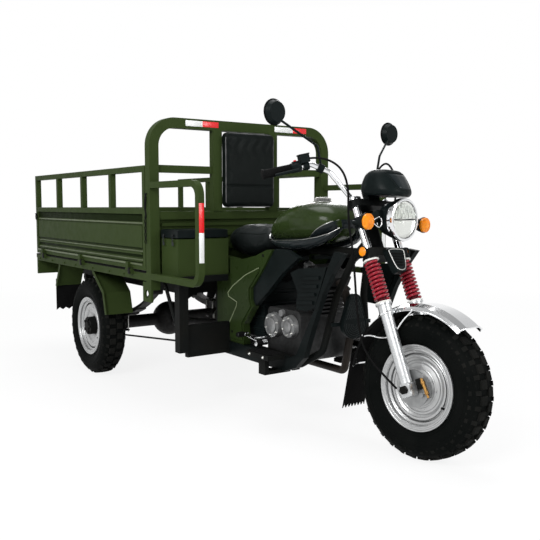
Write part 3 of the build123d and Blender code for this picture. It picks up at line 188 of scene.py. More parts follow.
def lathe(profile, steps, place, closed=False):
    """A profile of (radius, height) turned about a placing matrix's Z, flat-ended or closed on itself."""
    points = []
    faces = []
    rows = len(profile)
    for k in range(steps):
        angle = 2 * math.pi * k / steps
        for radius, height in profile:
            points.append(place @ Vector((radius * math.cos(angle), radius * math.sin(angle), height)))
    for k in range(steps):
        here = k * rows
        there = (k + 1) % steps * rows
        for r in range(rows if closed else rows - 1):
            after = (r + 1) % rows
            faces.append((here + r, there + r, there + after, here + after))
    if not closed:
        faces.append([k * rows for k in reversed(range(steps))])
        faces.append([k * rows + rows - 1 for k in range(steps)])
    return points, faces


def hex_bolt(place, radius, height):
    """A hex bolt head on its washer."""
    washer = lathe(((1.35 * radius, 0), (1.35 * radius, 0.2 * height)), 20, place)
    head = lathe(((radius, 0.2 * height), (radius, 0.85 * height), (0.82 * radius, height)), 6, place)
    return gather((washer, head))


def rubber(name, colour, dusty, rough, pits):
    """Black rubber: matt, a grey bloom in patches, a fine mould grain."""
    finish, tree, face = shader(name, colour, rough)
    face.inputs["Specular IOR Level"].default_value = 0.02
    cloud(tree, face, 9.0, colour, dusty, 5.0)
    relief(tree, face, grain(tree, 900.0, 2.0), pits)
    return finish


def plating(name, colour, rough):
    """Polished plate with a trace of haze."""
    finish, tree, face = shader(name, colour, rough, 1.0)
    haze(tree, face, 14.0, rough, rough + 0.07)
    return finish


soft_rubber = rubber("soft_rubber", (0.004, 0.004, 0.004), (0.007, 0.007, 0.007), 0.6, 0.00008)
zinc = plating("zinc_plate", (0.50, 0.50, 0.48), 0.28)
sides = (("right", -1), ("left", 1))
for side, sign in sides:
    treads = []
    bolts = []
    for i in range(8):
        y = sign * (0.240 + 0.0105 * i)
        treads.append(pillow((0.590, y - 0.0035, 0.3372), (0.760, y + 0.0035, 0.3422), 0.0012))
    for x in (0.622, 0.728):
        bolts.append(hex_bolt(facing((x, sign * 0.322, 0.327), (0, sign, 0)), 0.0050, 0.006))
    piece("footrest_treads_" + side, gather(treads), soft_rubber, "chassis")
    piece("footrest_bolts_" + side, gather(bolts), zinc, "chassis")

# Engine: sand-cast crankcase and finned cylinder between the lower rails, with brighter die-cast covers.
# Hex bolts hold each cover round its rim, and a carburettor breathes behind the cylinder.


def casting(name, colour, dark, rough, pits):
    """Cast metal: pitted skin, colour that drifts with oil and dust."""
    finish, tree, face = shader(name, colour, rough, 0.8)
    cloud(tree, face, 30.0, colour, dark, 6.0)
    haze(tree, face, 60.0, rough - 0.08, rough + 0.12)
    relief(tree, face, grain(tree, 700.0, 2.0), pits)
    return finish


cast_bright = casting("cast_cover", (0.30, 0.305, 0.305), (0.20, 0.20, 0.20), 0.42, 0.0001)
dress(casting("cast_block", (0.040, 0.041, 0.041), (0.022, 0.022, 0.022), 0.5, 0.0002), "engine")
dress(cast_bright, "engine_covers")
chrome = plating("chrome_plate", (0.80, 0.81, 0.82), 0.06)
for side, sign in sides:
    bolts = []
    rims = []
    for x, z, radius in ((0.583, 0.438, 0.060), (0.708, 0.446, 0.053)):
        out = facing((x, sign * 0.174, z), (0, sign, 0))
        ring = radius - 0.0135
        for k in range(6):
            angle = math.radians(60 * k + 20)
            spot = out @ Vector((ring * math.cos(angle), ring * math.sin(angle), -0.0002))
            bolts.append(hex_bolt(facing(spot, (0, sign, 0)), 0.0042, 0.0060))
        rims.append(lathe(((radius - 0.0235, -0.001), (radius - 0.0240, 0.0052), (radius - 0.0280, 0.0070),
                           (0.0120, 0.0078), (0.0040, 0.0080)), 40, out))
    piece("cover_bolts_" + side, gather(bolts), zinc, "chassis")
    piece("cover_rims_" + side, gather(rims), cast_bright, "chassis")

lean = math.radians(28)
barrel_up = Vector((math.sin(lean), 0, math.cos(lean)))
barrel_ahead = Vector((math.cos(lean), 0, -math.sin(lean)))
barrel_foot = Vector((0.700, 0, 0.480))
throat = barrel_foot + barrel_up * 0.173 - barrel_ahead * 0.129
carb_profile = ((0.020, 0), (0.020, 0.010), (0.025, 0.012), (0.025, 0.036), (0.021, 0.038), (0.021, 0.048))
carb_body = lathe(carb_profile, 28, facing(throat, -barrel_ahead))
carb_bowl = lathe(((0.020, 0), (0.020, 0.018), (0.023, 0.020), (0.021, 0.036), (0.010, 0.041)), 24,
                  facing(throat - barrel_ahead * 0.024 - barrel_up * 0.016, -barrel_up, (1, 0, 0)))
piece("carburettor", gather((carb_body, carb_bowl)), cast_bright, "chassis")
plug_profile = ((0.010, -0.001), (0.010, 0.006), (0.006, 0.007), (0.006, 0.020), (0.009, 0.021),
                (0.009, 0.040))
plug = lathe(plug_profile, 16, facing(barrel_foot + barrel_up * 0.227 - Vector((0, 0.062, 0)), (0, -1, 0)))
piece("spark_plug_cap", plug, soft_rubber, "chassis")

# Air filter box behind the engine, between the body panels: a ribbed black moulding.
# A rubber boot joins it to the carburettor.


def moulding(name, colour, rough, pits, shine=0.06):
    """Moulded plastic with a fine grained skin."""
    finish, tree, face = shader(name, colour, rough)
    face.inputs["Specular IOR Level"].default_value = shine
    cloud(tree, face, 12.0, colour, [1.5 * c for c in colour])
    haze(tree, face, 40.0, rough - 0.05, rough + 0.08)
    relief(tree, face, grain(tree, 1100.0, 1.0), pits)
    return finish


black_plastic = moulding("black_plastic", (0.004, 0.006, 0.006), 0.36, 0.00005, 0.05)
air_box = [pillow((0.205, -0.130, 0.345), (0.462, 0.130, 0.700), 0.018)]
for k in range(5):
    low = 0.385 + 0.060 * k
    air_box.append(pillow((0.200, -0.135, low), (0.467, 0.135, low + 0.020), 0.006))
piece("air_box", gather(air_box), black_plastic, "chassis")
boot_start = throat - barrel_ahead * 0.046
boot_end = Vector((0.455, 0, 0.640))
boot = [(0.0225, -0.002)]
pleat = (boot_end - boot_start).length / 6
for k in range(6):
    low = pleat * k
    boot += [(0.0225, low + 0.001), (0.0270, low + 0.25 * pleat), (0.0270, low + 0.6 * pleat),
             (0.0225, low + 0.9 * pleat)]
boot_shape = lathe(boot, 28, facing(boot_start, boot_end - boot_start, (0, 1, 0)))
piece("air_boot", boot_shape, soft_rubber, "chassis")

# Exhaust: black-lacquered pipe and silencer on the left, drifting in faint brown clouds.
# Three clamp bands are strapped round the silencer.
dress(enamel("pipe_black", (0.009, 0.009, 0.009), (0.018, 0.014, 0.011), 0.5, 0.12), "exhaust")
bands = []
for shift in (0.060, 0.210, 0.360):
    bands.append(lathe(((0.0535, shift - 0.009), (0.0560, shift - 0.008), (0.0560, shift + 0.008),
                        (0.0535, shift + 0.009)), 40, facing((0, 0.128, 0.330), (-1, 0, 0)), closed=True))
piece("silencer_bands", gather(bands), zinc, "chassis")

# Driven rear axle on leaf springs: cast and welded steel, painted black and gone dusty.
# Two U-bolts clamp each spring to its seat with a plate below, and the shaft's flange carries hex bolts.
dusty_black = casting("dusty_black", (0.012, 0.012, 0.012), (0.007, 0.0065, 0.006), 0.62, 0.0003)
dress(dusty_black, "rear_axle", "leaf_springs", "propeller_shaft", "brake_rods")


def wires(name, runs, radius, finish, body, kind="POLY", closed=False):
    """Round wires through lists of points, as one curve with a bevel."""
    curve = bpy.data.curves.new(name, "CURVE")
    curve.dimensions = "3D"
    curve.bevel_depth = radius
    curve.bevel_resolution = 3
    curve.use_fill_caps = True
    curve.resolution_u = 8
    for run in runs:
        spline = curve.splines.new(kind)
        spline.points.add(len(run) - 1)
        for knot, point in zip(spline.points, run):
            knot.co = (*point, 1)
        spline.use_cyclic_u = closed
        spline.use_smooth = True
        if kind == "NURBS":
            spline.order_u = 3
            spline.use_endpoint_u = not closed
    curve.materials.append(finish)
    item = bpy.data.objects.new(name, curve)
    bpy.context.scene.collection.objects.link(item)
    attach(item, body)
    return item


u_bolts = []
plates = []
for sign in (-1, 1):
    y = sign * 0.330
    plates.append(pillow((-0.833, y - 0.039, 0.2375), (-0.733, y + 0.039, 0.2465), 0.003))
    for x in (-0.821, -0.745):
        u_bolts.append([(x, y - 0.0335, 0.231), (x, y - 0.0335, 0.366), (x, y - 0.025, 0.3735),
                        (x, y + 0.025, 0.3735), (x, y + 0.0335, 0.366), (x, y + 0.0335, 0.231)])
wires("spring_u_bolts", u_bolts, 0.0042, zinc, "chassis")
piece("spring_plates", gather(plates), frame_black, "chassis")
flange_bolts = []
for k in range(8):
    angle = 2 * math.pi * k / 8
    spot = (-0.6072, 0.0305 * math.cos(angle), 0.284 + 0.0305 * math.sin(angle))
    flange_bolts.append(hex_bolt(facing(spot, (1, 0, 0)), 0.0042, 0.007))
piece("shaft_bolts", gather(flange_bolts), zinc, "chassis")

# Wheels: pressed steel discs in silver lacquer, with block-tread tyres moulded over a round carcass.
# The tread has two staggered rows of square blocks, shoulder bars, and short ribs between them.
# Rolls are pressed into each disc, black caps close the rear hubs, and a rubber valve stands in each rim.
wheel_silver = casting("wheel_silver", (0.46, 0.465, 0.465), (0.40, 0.405, 0.405), 0.34, 0.00002)
dress(wheel_silver, "front_rim", "rear_right_rim", "rear_left_rim")
dress(frame_black, "rear_right_hub", "rear_left_hub")
tyre_rubber = rubber("tyre_rubber", (0.0022, 0.0028, 0.0026), (0.004, 0.0045, 0.0042), 0.6, 0.00010)
tread_rubber = rubber("tread_rubber", (0.005, 0.0055, 0.005), (0.011, 0.011, 0.010), 0.70, 0.00025)
joints = {joint["name"]: joint for joint in frame["joints"]}
carcass_half = ((0.2750, 0.0000), (0.2747, 0.0200), (0.2730, 0.0360), (0.2690, 0.0470), (0.2630, 0.0565),
                (0.2560, 0.0625), (0.2470, 0.0670), (0.2360, 0.0692), (0.2255, 0.0695), (0.2245, 0.0704),
                (0.2225, 0.0704), (0.2215, 0.0691), (0.2080, 0.0670), (0.1960, 0.0640), (0.1860, 0.0595),
                (0.1845, 0.0605), (0.1810, 0.0590), (0.1760, 0.0545), (0.1705, 0.0512), (0.1600, 0.0500),
                (0.1535, 0.0480))


def lug(place, levels, half_turn, across, taper):
    """One tread block: levels of (inner, outer) radius from root to top, drawn in towards the top."""
    inner, outer = across
    hand = 1 if outer > inner else -1
    points = []
    for level, (near, far) in enumerate(levels):
        shrink = taper * level / (len(levels) - 1)
        for turn, radius, y in ((-1, near, inner + hand * shrink), (1, near, inner + hand * shrink),
                                (1, far, outer - hand * shrink), (-1, far, outer - hand * shrink)):
            angle = turn * (half_turn - shrink / radius)
            points.append(place @ Vector((radius * math.cos(angle), radius * math.sin(angle), y)))
    faces = []
    for level in range(len(levels) - 1):
        for c in range(4):
            a = 4 * level + c
            b = 4 * level + (c + 1) % 4
            faces.append((a, b, b + 4, a + 4) if hand > 0 else (b, a, a + 4, b + 4))
    top = 4 * (len(levels) - 1)
    faces.append((top, top + 1, top + 2, top + 3) if hand > 0 else (top + 3, top + 2, top + 1, top))
    return points, faces


def axle_of(wheel):
    """A placing matrix at the middle of a wheel, its Z along the axle."""
    spin = joints[wheel + "_spin"]
    return facing(spin["pos_m"], spin["axis"])


def tyre(name, body, node):
    """One tyre on the axle of a wheel."""
    axle = axle_of(body)
    profile = [(r, -y) for r, y in reversed(carcass_half[1:])] + list(carcass_half)
    carcass = lathe(profile, 120, axle, closed=True)
    blocks = 30
    pitch = 2 * math.pi / blocks
    treads = []
    for k in range(blocks):
        for hand, stagger in ((-1, 0), (1, 0.5)):
            block = axle @ Matrix.Rotation((k + stagger) * pitch, 4, "Z")
            bar = axle @ Matrix.Rotation((k + stagger + 0.5) * pitch, 4, "Z")
            treads.append(lug(block, ((0.2720, 0.2690), (0.2825, 0.2805), (0.2836, 0.2816)), 0.066,
                              (hand * 0.0035, hand * 0.0375), 0.0022))
            treads.append(lug(bar, ((0.2660, 0.2420), (0.2790, 0.2475), (0.2800, 0.2482)), 0.036,
                              (hand * 0.0400, hand * 0.0697), 0.0018))
            treads.append(lug(block, ((0.2600, 0.2380), (0.2665, 0.2410)), 0.016,
                              (hand * 0.0520, hand * 0.0698), 0.0006))
    item = piece(name, gather((carcass, gather(treads))), tyre_rubber, body, 28)
    item.data.materials.append(tread_rubber)
    for polygon in item.data.polygons[len(carcass[1]):]:
        polygon.material_index = 1
    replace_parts(item, node)


tyre("tyre_front", "front_wheel", "front_tyre")
tyre("tyre_rear_right", "rear_right_wheel", "rear_right_tyre")
tyre("tyre_rear_left", "rear_left_wheel", "rear_left_tyre")
lip_roll = ((0.1690, 0.0555), (0.1688, 0.0590), (0.1660, 0.0602), (0.1630, 0.0588), (0.1605, 0.0550))
inner_roll = ((0.1565, 0.0540), (0.1545, 0.0582), (0.1515, 0.0592), (0.1485, 0.0576), (0.1468, 0.0530))
ledge = ((0.1468, 0.0500), (0.1462, 0.0440), (0.1420, 0.0405), (0.1370, 0.0405), (0.1345, 0.0380),
         (0.1345, 0.0340), (0.1480, 0.0340))
front_rolls = (((0.1290, 0.0300), (0.1270, 0.0395), (0.1230, 0.0412), (0.1180, 0.0398), (0.1160, 0.0330)),
               ((0.1080, 0.0280), (0.1060, 0.0330), (0.1020, 0.0345), (0.0970, 0.0345), (0.0940, 0.0310)),
               ((0.0820, 0.0340), (0.0800, 0.0388), (0.0770, 0.0400), (0.0730, 0.0400), (0.0710, 0.0360)))
rear_rolls = (((0.1090, 0.0270), (0.1070, 0.0318), (0.1030, 0.0330), (0.0990, 0.0320), (0.0970, 0.0270)),)
wheel_sides = (("front_wheel", -1, front_rolls), ("rear_right_wheel", -1, rear_rolls),
               ("rear_left_wheel", 1, rear_rolls))
for wheel, out, rolls in wheel_sides:
    axle = axle_of(wheel)
    rings = []
    for roll in (lip_roll, inner_roll, ledge, *rolls):
        rings.append(lathe([(r, out * y) for r, y in roll], 72, axle, closed=True))
    piece("rim_rolls_" + wheel, gather(rings), wheel_silver, wheel, 50)
for side, sign in sides:
    cap = lathe(((0.0265, -0.001), (0.0265, 0.004), (0.0245, 0.0070), (0.0140, 0.0080)), 28,
                facing((-0.783, sign * 0.537, 0.284), (0, sign, 0)))
    piece("hub_cap_" + side, cap, frame_black, "rear_" + side + "_wheel")
for wheel, out, rolls in wheel_sides:
    axle = axle_of(wheel) @ Matrix.Rotation(math.radians(205), 4, "Z")
    foot = axle @ Vector((0.1480, 0, out * 0.038))
    tip = axle @ Vector((0.1300, 0, out * 0.054))
    stem = lathe(((0.0065, 0), (0.0055, 0.010), (0.0040, 0.012), (0.0040, 0.022), (0.0030, 0.0240)), 14,
                 facing(foot, tip - foot))
    piece("valve_" + wheel, stem, soft_rubber, wheel)

# Fork: hard-chromed tubes in cast clamps, red coil springs, machined and lacquered aluminium sliders.
# White nylon washers seat both ends of each spring.
steer_at = Vector(joints["steering"]["pos_m"])
fork_up = Vector(joints["steering"]["axis"])
fork_left = Vector(joints["front_wheel_spin"]["axis"])
fork = Matrix((fork_left.cross(fork_up), fork_left, fork_up)).transposed().to_4x4()
fork.translation = Vector(joints["front_wheel_spin"]["pos_m"])
turned_left = Matrix.Rotation(math.radians(8), 4, fork_up)
ahead = Matrix.Translation(steer_at) @ turned_left @ Matrix.Translation(-steer_at)
nose = ahead.to_3x3() @ Vector((1, 0, 0))
dress(chrome, "fork_tubes")
dress(frame_black, "front_spindle")
slider_alloy = casting("slider_alloy", (0.56, 0.575, 0.58), (0.50, 0.51, 0.515), 0.32, 0.00003)
dress(slider_alloy, "fork_sliders")
dress(casting("brake_alloy", (0.32, 0.325, 0.325), (0.24, 0.245, 0.245), 0.4, 0.00008), "front_brake")
dress(frame_black, "fork_clamps")
nylon, tree, face = shader("white_nylon", (0.70, 0.70, 0.67), 0.45)
cloud(tree, face, 60.0, (0.70, 0.70, 0.67), (0.58, 0.57, 0.53))
washers = []
caps = []
leg_sides = (-0.104, 0.104)
for y in leg_sides:
    leg = fork @ Matrix.Translation((0, y, 0))
    for low in (0.3462, 0.5245):
        washers.append(lathe(((0.0185, low), (0.0315, low), (0.0325, low + 0.002), (0.0325, low + 0.005),
                              (0.0315, low + 0.0072), (0.0185, low + 0.0072)), 36, leg, closed=True))
    caps.append(lathe(((0.0165, 0.3005), (0.0282, 0.3005), (0.0288, 0.302), (0.0288, 0.309),
                       (0.0280, 0.3105), (0.0165, 0.3105)), 36, leg, closed=True))
    caps.append(lathe(((0.010, 0.8015), (0.010, 0.8085), (0.0085, 0.8100)), 6, leg))
piece("spring_washers", gather(washers), nylon, "steering")
coils = []
guides = []
lugs = []
coil_turns = 10
coil_steps = 240
coil_radius = 0.0262
for y in leg_sides:
    leg = fork @ Matrix.Translation((0, y, 0))
    coil = []
    for k in range(coil_steps + 1):
        angle = 2 * math.pi * coil_turns * k / coil_steps
        rise = 0.3598 + 0.1590 * k / coil_steps
        coil.append(leg @ Vector((coil_radius * math.cos(angle), coil_radius * math.sin(angle), rise)))
    coils.append(coil)
    guides.append(lathe(((0.0172, 0.3535), (0.0196, 0.3535), (0.0196, 0.5245), (0.0172, 0.5245)), 32, leg,
                        closed=True))
    lugs.append(pillow((-0.0250, -0.0228, -0.0300), (0.0265, 0.0228, 0.0240), 0.006, leg))
spring_red = enamel("spring_red", (0.25, 0.007, 0.018), (0.20, 0.006, 0.015), 0.26, 0.2, 0.2)
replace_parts(wires("spring_coils", coils, 0.0060, spring_red, "steering"), "fork_springs")
guide_red = moulding("guide_red", (0.050, 0.003, 0.006), 0.5, 0.00004, 0.1)
piece("spring_guides", gather(guides), guide_red, "steering")
piece("slider_lugs", gather(lugs), slider_alloy, "steering")
piece("fork_caps", gather(caps), chrome, "steering")

# Brake cylinder at the front hub: a brass body with union nuts, screwed to the cam arm of the brake plate.
# A black bracket beside it holds the end of the hose.
brass, tree, face = shader("brass", (0.42, 0.23, 0.06), 0.28, 0.9)
cloud(tree, face, 50.0, (0.42, 0.23, 0.06), (0.30, 0.16, 0.05))
top = fork @ Vector((0.060, -0.0860, 0.027))
foot = fork @ Vector((0.067, -0.0860, -0.052))
union_profile = ((0.0030, 0), (0.0055, 0.001), (0.0055, 0.012), (0.0082, 0.0125), (0.0082, 0.022),
                 (0.0062, 0.0225), (0.0062, 0.054), (0.0080, 0.0545), (0.0080, 0.064), (0.0048, 0.0645),
                 (0.0048, 0.078), (0.0030, 0.0793))
union = lathe(union_profile, 18, facing(top, foot - top))
piece("brake_union", union, brass, "steering")
bracket = pillow((0.029, -0.0865, -0.012), (0.054, -0.0715, 0.030), 0.003, fork)
piece("brake_bracket", bracket, frame_black, "steering")

# Front mudguard: one chrome-plated pressing with a rolled edge, on bent wire stays from the sliders.
# Black sheets in the rubber finish line the inside of its tail and crown as painted shade, and a rubber flap
# with a toothed edge is riveted under it.
dress(chrome, "front_mudguard")
hub_x = 1.372
hub_z = 0.284


def on_guard(angle, radius, y):
    """A point of the mudguard at an angle round the front hub."""
    turn = math.radians(angle)
    return ahead @ Vector((hub_x + radius * math.cos(turn), y, hub_z + radius * math.sin(turn)))


def loft(rings, forward):
    """Rings of points joined into one closed form with flat ends, wound forward or back."""
    around = len(rings[0])
    points = [point for ring in rings for point in ring]
    faces = []
    for k in range(len(rings) - 1):
        for j in range(around):
            a = around * k + j
            b = around * k + (j + 1) % around
            faces.append((a, b, b + around, a + around) if forward else (b, a, a + around, b + around))
    first = list(range(around))
    last = [len(points) - around + j for j in first]
    faces.append(first[::-1] if forward else first)
    faces.append(last if forward else last[::-1])
    return points, faces


edges = []
# Painted shade: black sheets along the inside of the guard's tail and under its crown, where the guard is in
# shadow.
shade_linings = []
rolled_edge = ((0.3000, 0.9900), (0.3000, 1.0260), (0.3075, 0.9960), (0.3155, 0.9540), (0.3155, 0.9150))
for y in (-0.0765, 0.0765):
    edges.append([on_guard(52 + 70 * k / 30, 0.3020, y) for k in range(31)])
    rings = [[on_guard(122 + 50 * k / 24, r, out * y) for r, out in rolled_edge] for k in range(25)]
    shade_linings.append(loft(rings, y > 0))
under = [(0.3000, 0.0735), (0.3135, 0.0672), (0.3252, 0.0405), (0.3252, -0.0405), (0.3135, -0.0672),
         (0.3000, -0.0735), (0.3000, -0.0720), (0.3128, -0.0655), (0.3238, -0.0395), (0.3238, 0.0395),
         (0.3128, 0.0655), (0.3000, 0.0720)]
shade_linings.append(loft([[on_guard(98 + 74 * k / 30, r, y) for r, y in under] for k in range(31)], False))
piece("mudguard_shade_linings", gather(shade_linings), soft_rubber, "steering")
for angle in (52, 173):
    edges.append([on_guard(angle, r, y) for r, y in ((0.302, -0.0765), (0.3165, -0.071), (0.3290, -0.043),
                                                     (0.3290, 0.043), (0.3165, 0.071), (0.302, 0.0765))])
wires("mudguard_edge", edges, 0.0028, chrome, "steering")
stays = []
for sign in (-1, 1):
    stays.append([fork @ Vector((-0.018, sign * 0.088, 0.215)), fork @ Vector((-0.075, sign * 0.080, 0.222)),
                  on_guard(142, 0.292, sign * 0.0775), on_guard(146, 0.3035, sign * 0.0765)])
    stays.append([fork @ Vector((0.018, sign * 0.088, 0.235)), fork @ Vector((0.050, sign * 0.0795, 0.262)),
                  on_guard(96, 0.290, sign * 0.0780), on_guard(94, 0.3035, sign * 0.0765)])
wires("mudguard_stays", stays, 0.0038, chrome, "steering", "NURBS")
flap_back = []
flap_front = []
teeth = 7
columns = 8 * teeth
for k in range(columns + 1):
    y = -0.0700 + 0.1400 * k / columns
    point = 0.018 * abs((k / 4) % 2 - 1)
    for row in range(9):
        share = row / 8
        along = -0.030 + 0.224 * share + (point if row == 8 else 0)
        sweep = 0.3300 - 0.006 * share
        spot = Vector((-sweep * math.cos(math.radians(10)) - along * 0.174, y,
                       sweep * math.sin(math.radians(10)) - along * 0.985)) + Vector((hub_x, 0, hub_z))
        flap_back.append(ahead @ (spot + Vector((-0.0040, 0, 0))))
        flap_front.append(ahead @ spot)
faces = []
half_count = len(flap_back)
last = half_count - 9
for k in range(columns):
    for row in range(8):
        a = 9 * k + row
        b = half_count + a
        faces.append((a, a + 1, a + 10, a + 9))
        faces.append((b + 9, b + 10, b + 1, b))
    top = 9 * k
    foot = top + 8
    faces.append((top, top + 9, half_count + top + 9, half_count + top))
    faces.append((foot, half_count + foot, half_count + foot + 9, foot + 9))
for row in range(8):
    faces.append((row, half_count + row, half_count + row + 1, row + 1))
    faces.append((last + row, last + row + 1, half_count + last + row + 1, half_count + last + row))
flap = piece("mudguard_flap", (flap_back + flap_front, faces), soft_rubber, "steering")
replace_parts(flap, "front_flap")

# Handlebar: one chromed tube clamped in two risers on the upper clamp.
# Ribbed rubber grips push over its ends, beside moulded switch housings with a red button each.
dress(chrome, "handlebar")
dress(black_plastic, "hand_controls", "mirrors", "instrument_cowl", "horn_cover", "tank_trims",
      "side_covers", "headlamp_shell", "front_grille", "lid_right", "lid_left")
button_red = moulding("button_red", (0.45, 0.012, 0.012), 0.35, 0.00003)
bar_top = Vector((0.905, 0.215, 1.150))
grip_end = Vector((0.800, 0.392, 1.095))
bar_end = bar_top.lerp(grip_end, 0.22)
for side, sign in sides:
    mirrored = Matrix.Diagonal((1, sign, 1))
    inner = ahead @ (mirrored @ bar_end)
    outer = ahead @ (mirrored @ grip_end)
    hold = facing(inner, outer - inner)
    reach = (outer - inner).length
    profile = [(0.0165, 0.0435)]
    for k in range(17):
        low = 0.044 + 0.0068 * k
        profile += [(0.0178, low), (0.0192, low + 0.0012), (0.0192, low + 0.0044), (0.0178, low + 0.0056)]
    profile += [(0.0205, reach - 0.0055), (0.0205, reach + 0.0008), (0.0150, reach + 0.002)]
    piece("grip_" + side, lathe(profile, 32, hold), soft_rubber, "steering")
    switches = [pillow((-0.010, 0.0170, 0.006), (0.010, 0.0265, 0.034), 0.003, hold),
                pillow((-0.0255, -0.012, 0.008), (-0.017, 0.010, 0.036), 0.003, hold),
                pillow((0.0165, -0.014, 0.004), (0.0245, 0.012, 0.040), 0.003, hold)]
    piece("switches_" + side, gather(switches), black_plastic, "steering")
    button = facing(hold @ Vector((0, 0.0262, 0.020)), hold.to_3x3() @ Vector((0, 1, 0)), outer - inner)
    dome = lathe(((0.0065, 0), (0.0065, 0.0035), (0.0050, 0.0048), (0.0015, 0.0052)), 20, button)
    piece("button_" + side, dome, button_red, "steering")

# Mirrors: round moulded shells on bent black stems, with a flat glass set into the rear face.
# A thin rubber ring holds the glass.
mirror_glass = plating("mirror_glass", (0.62, 0.64, 0.66), 0.02)
for side, sign in sides:
    back = facing(ahead @ Vector((0.828, sign * 0.370, 1.350)), -nose)
    ring = lathe(((0.0530, -0.006), (0.0545, -0.002), (0.0536, 0.0016), (0.0500, 0.0020), (0.0488, 0.0004)),
                 48, back, closed=True)
    piece("mirror_ring_" + side, ring, soft_rubber, "steering")
    glass = lathe(((0.0500, -0.001), (0.0495, 0.0009), (0.0200, 0.0013), (0.0030, 0.0014)), 48, back)
    piece("mirror_glass_" + side, glass, mirror_glass, "steering")

# Brake hose and clutch cable: black rubber over braid, each free between its two ends.
# The hose runs from the reservoir down the right leg to the hub, the cable from the left lever to its arm.


def cable(name, route):
    """A free cable along a route of the straight-ahead front end."""
    run = [ahead @ Vector(point) for point in route]
    item = wires(name, [run], 0.0045, soft_rubber, "steering", "NURBS")
    return item


hose_route = ((0.911, -0.2313, 1.1738), (0.985, -0.206, 1.180), (1.060, -0.156, 1.105),
              (1.064, -0.149, 0.914), (1.098, -0.147, 0.800), (1.139, -0.140, 0.475), (1.205, -0.136, 0.365),
              (1.338, -0.132, 0.284))
brake_hose = cable("brake_hose", hose_route)
clutch_route = ((0.854, 0.267, 1.1522), (0.905, 0.240, 1.196), (1.000, 0.185, 1.186), (1.078, 0.150, 1.080),
                (1.064, 0.134, 0.945))
cable("clutch_cable", clutch_route)
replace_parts(brake_hose, "control_cables")

# Headlamp: a black bowl on two arms, a chrome bezel, a clear glass over fluted glass and a bright reflector.
# A thin bar divides the glass across the middle.
lamp = facing(ahead @ Vector((1.233, 0, 0.936)), nose)
bezel = lathe(((0.0795, -0.024), (0.0862, -0.023), (0.0872, -0.018), (0.0872, -0.002), (0.0860, 0.0030),
               (0.0820, 0.0052), (0.0765, 0.0040), (0.0735, -0.0020), (0.0730, -0.0100)), 72, lamp,
              closed=True)
piece("headlamp_bezel", bezel, chrome, "steering")
silvering = plating("reflector_silver", (0.80, 0.80, 0.78), 0.12)
dish = lathe(((0.0100, -0.0108), (0.0240, -0.0106), (0.0420, -0.0092), (0.0600, -0.0062), (0.0725, -0.0020),
              (0.0725, -0.0119), (0.0100, -0.0119)), 64, lamp, closed=True)
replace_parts(piece("headlamp_reflector", dish, silvering, "steering", 60), "headlamp_lens")
bulb = lathe(((0.0140, -0.0105), (0.0140, -0.0020), (0.0120, 0.0000), (0.0060, 0.0010)), 28, lamp)
piece("headlamp_bulb_shield", bulb, silvering, "steering")
flute_glass, tree, face = shader("flute_glass", (0.80, 0.82, 0.80), 0.08)
cloud(tree, face, 90.0, (0.80, 0.82, 0.80), (0.62, 0.64, 0.60))
flutes = []
for k in range(-7, 8):
    wide = 0.0092 * k
    tall = 0.88 * math.sqrt(0.0705 ** 2 - wide ** 2)
    flutes.append([lamp @ Vector((wide, 0.004, 0.0016)), lamp @ Vector((wide, tall, 0.0006))])
wires("headlamp_flutes", flutes, 0.0016, flute_glass, "steering")
divide = [lamp @ Vector((-0.069, 0, 0.0030)), lamp @ Vector((0.069, 0, 0.0030))]
wires("headlamp_divide", [divide], 0.0022, frame_black, "steering")
clear_glass, tree, face = shader("clear_glass", (0.97, 0.98, 0.97), 0.02)
face.inputs["Transmission Weight"].default_value = 1.0
face.inputs["IOR"].default_value = 1.12
haze(tree, face, 30.0, 0.01, 0.04)
dome = lathe(((0.0745, 0.0030), (0.0740, 0.0048), (0.0620, 0.0088), (0.0420, 0.0122), (0.0200, 0.0138),
              (0.0001, 0.0142), (0.0001, 0.0120), (0.0200, 0.0116), (0.0420, 0.0100), (0.0620, 0.0066)),
             64, lamp, closed=True)
piece("headlamp_glass", dome, clear_glass, "steering", 60)

# Instrument cowl: a moulded visor over the headlamp, with a glossier panel set into its front.
# A raised bead of the same moulding frames the panel.
from mathutils.bvhtree import BVHTree


def skin_of(item):
    """The surface of a piece or a node, to cast rays on."""
    mesh = item.data
    return BVHTree.FromPolygons([v.co for v in mesh.vertices], [p.vertices for p in mesh.polygons])


def panel_on(skin, corners, toward, lift, rows, columns):
    """A thin panel on a surface: a field of four corners cast along a direction, its edge pressed down."""
    a, b, c, d = [Vector(corner) for corner in corners]
    points = []
    for i in range(rows + 1):
        for j in range(columns + 1):
            start = a.lerp(b, j / columns).lerp(d.lerp(c, j / columns), i / rows)
            spot = skin.ray_cast(start, toward)[0]
            rim = i in (0, rows) or j in (0, columns)
            points.append(spot - toward * (0.0 if rim else lift))
    faces = []
    for i in range(rows):
        for j in range(columns):
            k = i * (columns + 1) + j
            faces.append((k, k + columns + 1, k + columns + 2, k + 1))
    return points, faces


gloss_plastic = moulding("gloss_plastic", (0.008, 0.011, 0.012), 0.18, 0.00001, 0.2)
cowl = skin_of(nodes["instrument_cowl"])
window_corners = ((-0.050, 1.118), (0.050, 1.118), (0.032, 1.060), (-0.032, 1.060))
window = [ahead @ Vector((1.30, y, z)) for y, z in window_corners]
pane = panel_on(cowl, window, -nose, 0.003, 14, 20)
piece("cowl_window", pane, gloss_plastic, "steering", 50)
bead = []
corners = ((-0.060, 1.1235), (0.060, 1.1235), (0.040, 1.054), (-0.040, 1.054))
for (y, z), (next_y, next_z) in zip(corners, corners[1:] + corners[:1]):
    for k in range(12):
        start = ahead @ Vector((1.30, y + (next_y - y) * k / 12, z + (next_z - z) * k / 12))
        bead.append(cowl.ray_cast(start, -nose)[0])
wires("cowl_window_bead", [bead], 0.0022, black_plastic, "steering", "POLY", True)

# Indicators: ringed amber lenses in black housings on short arms, each with a chrome loop beside it.
# Round amber reflectors in black rims sit on the lower clamp.


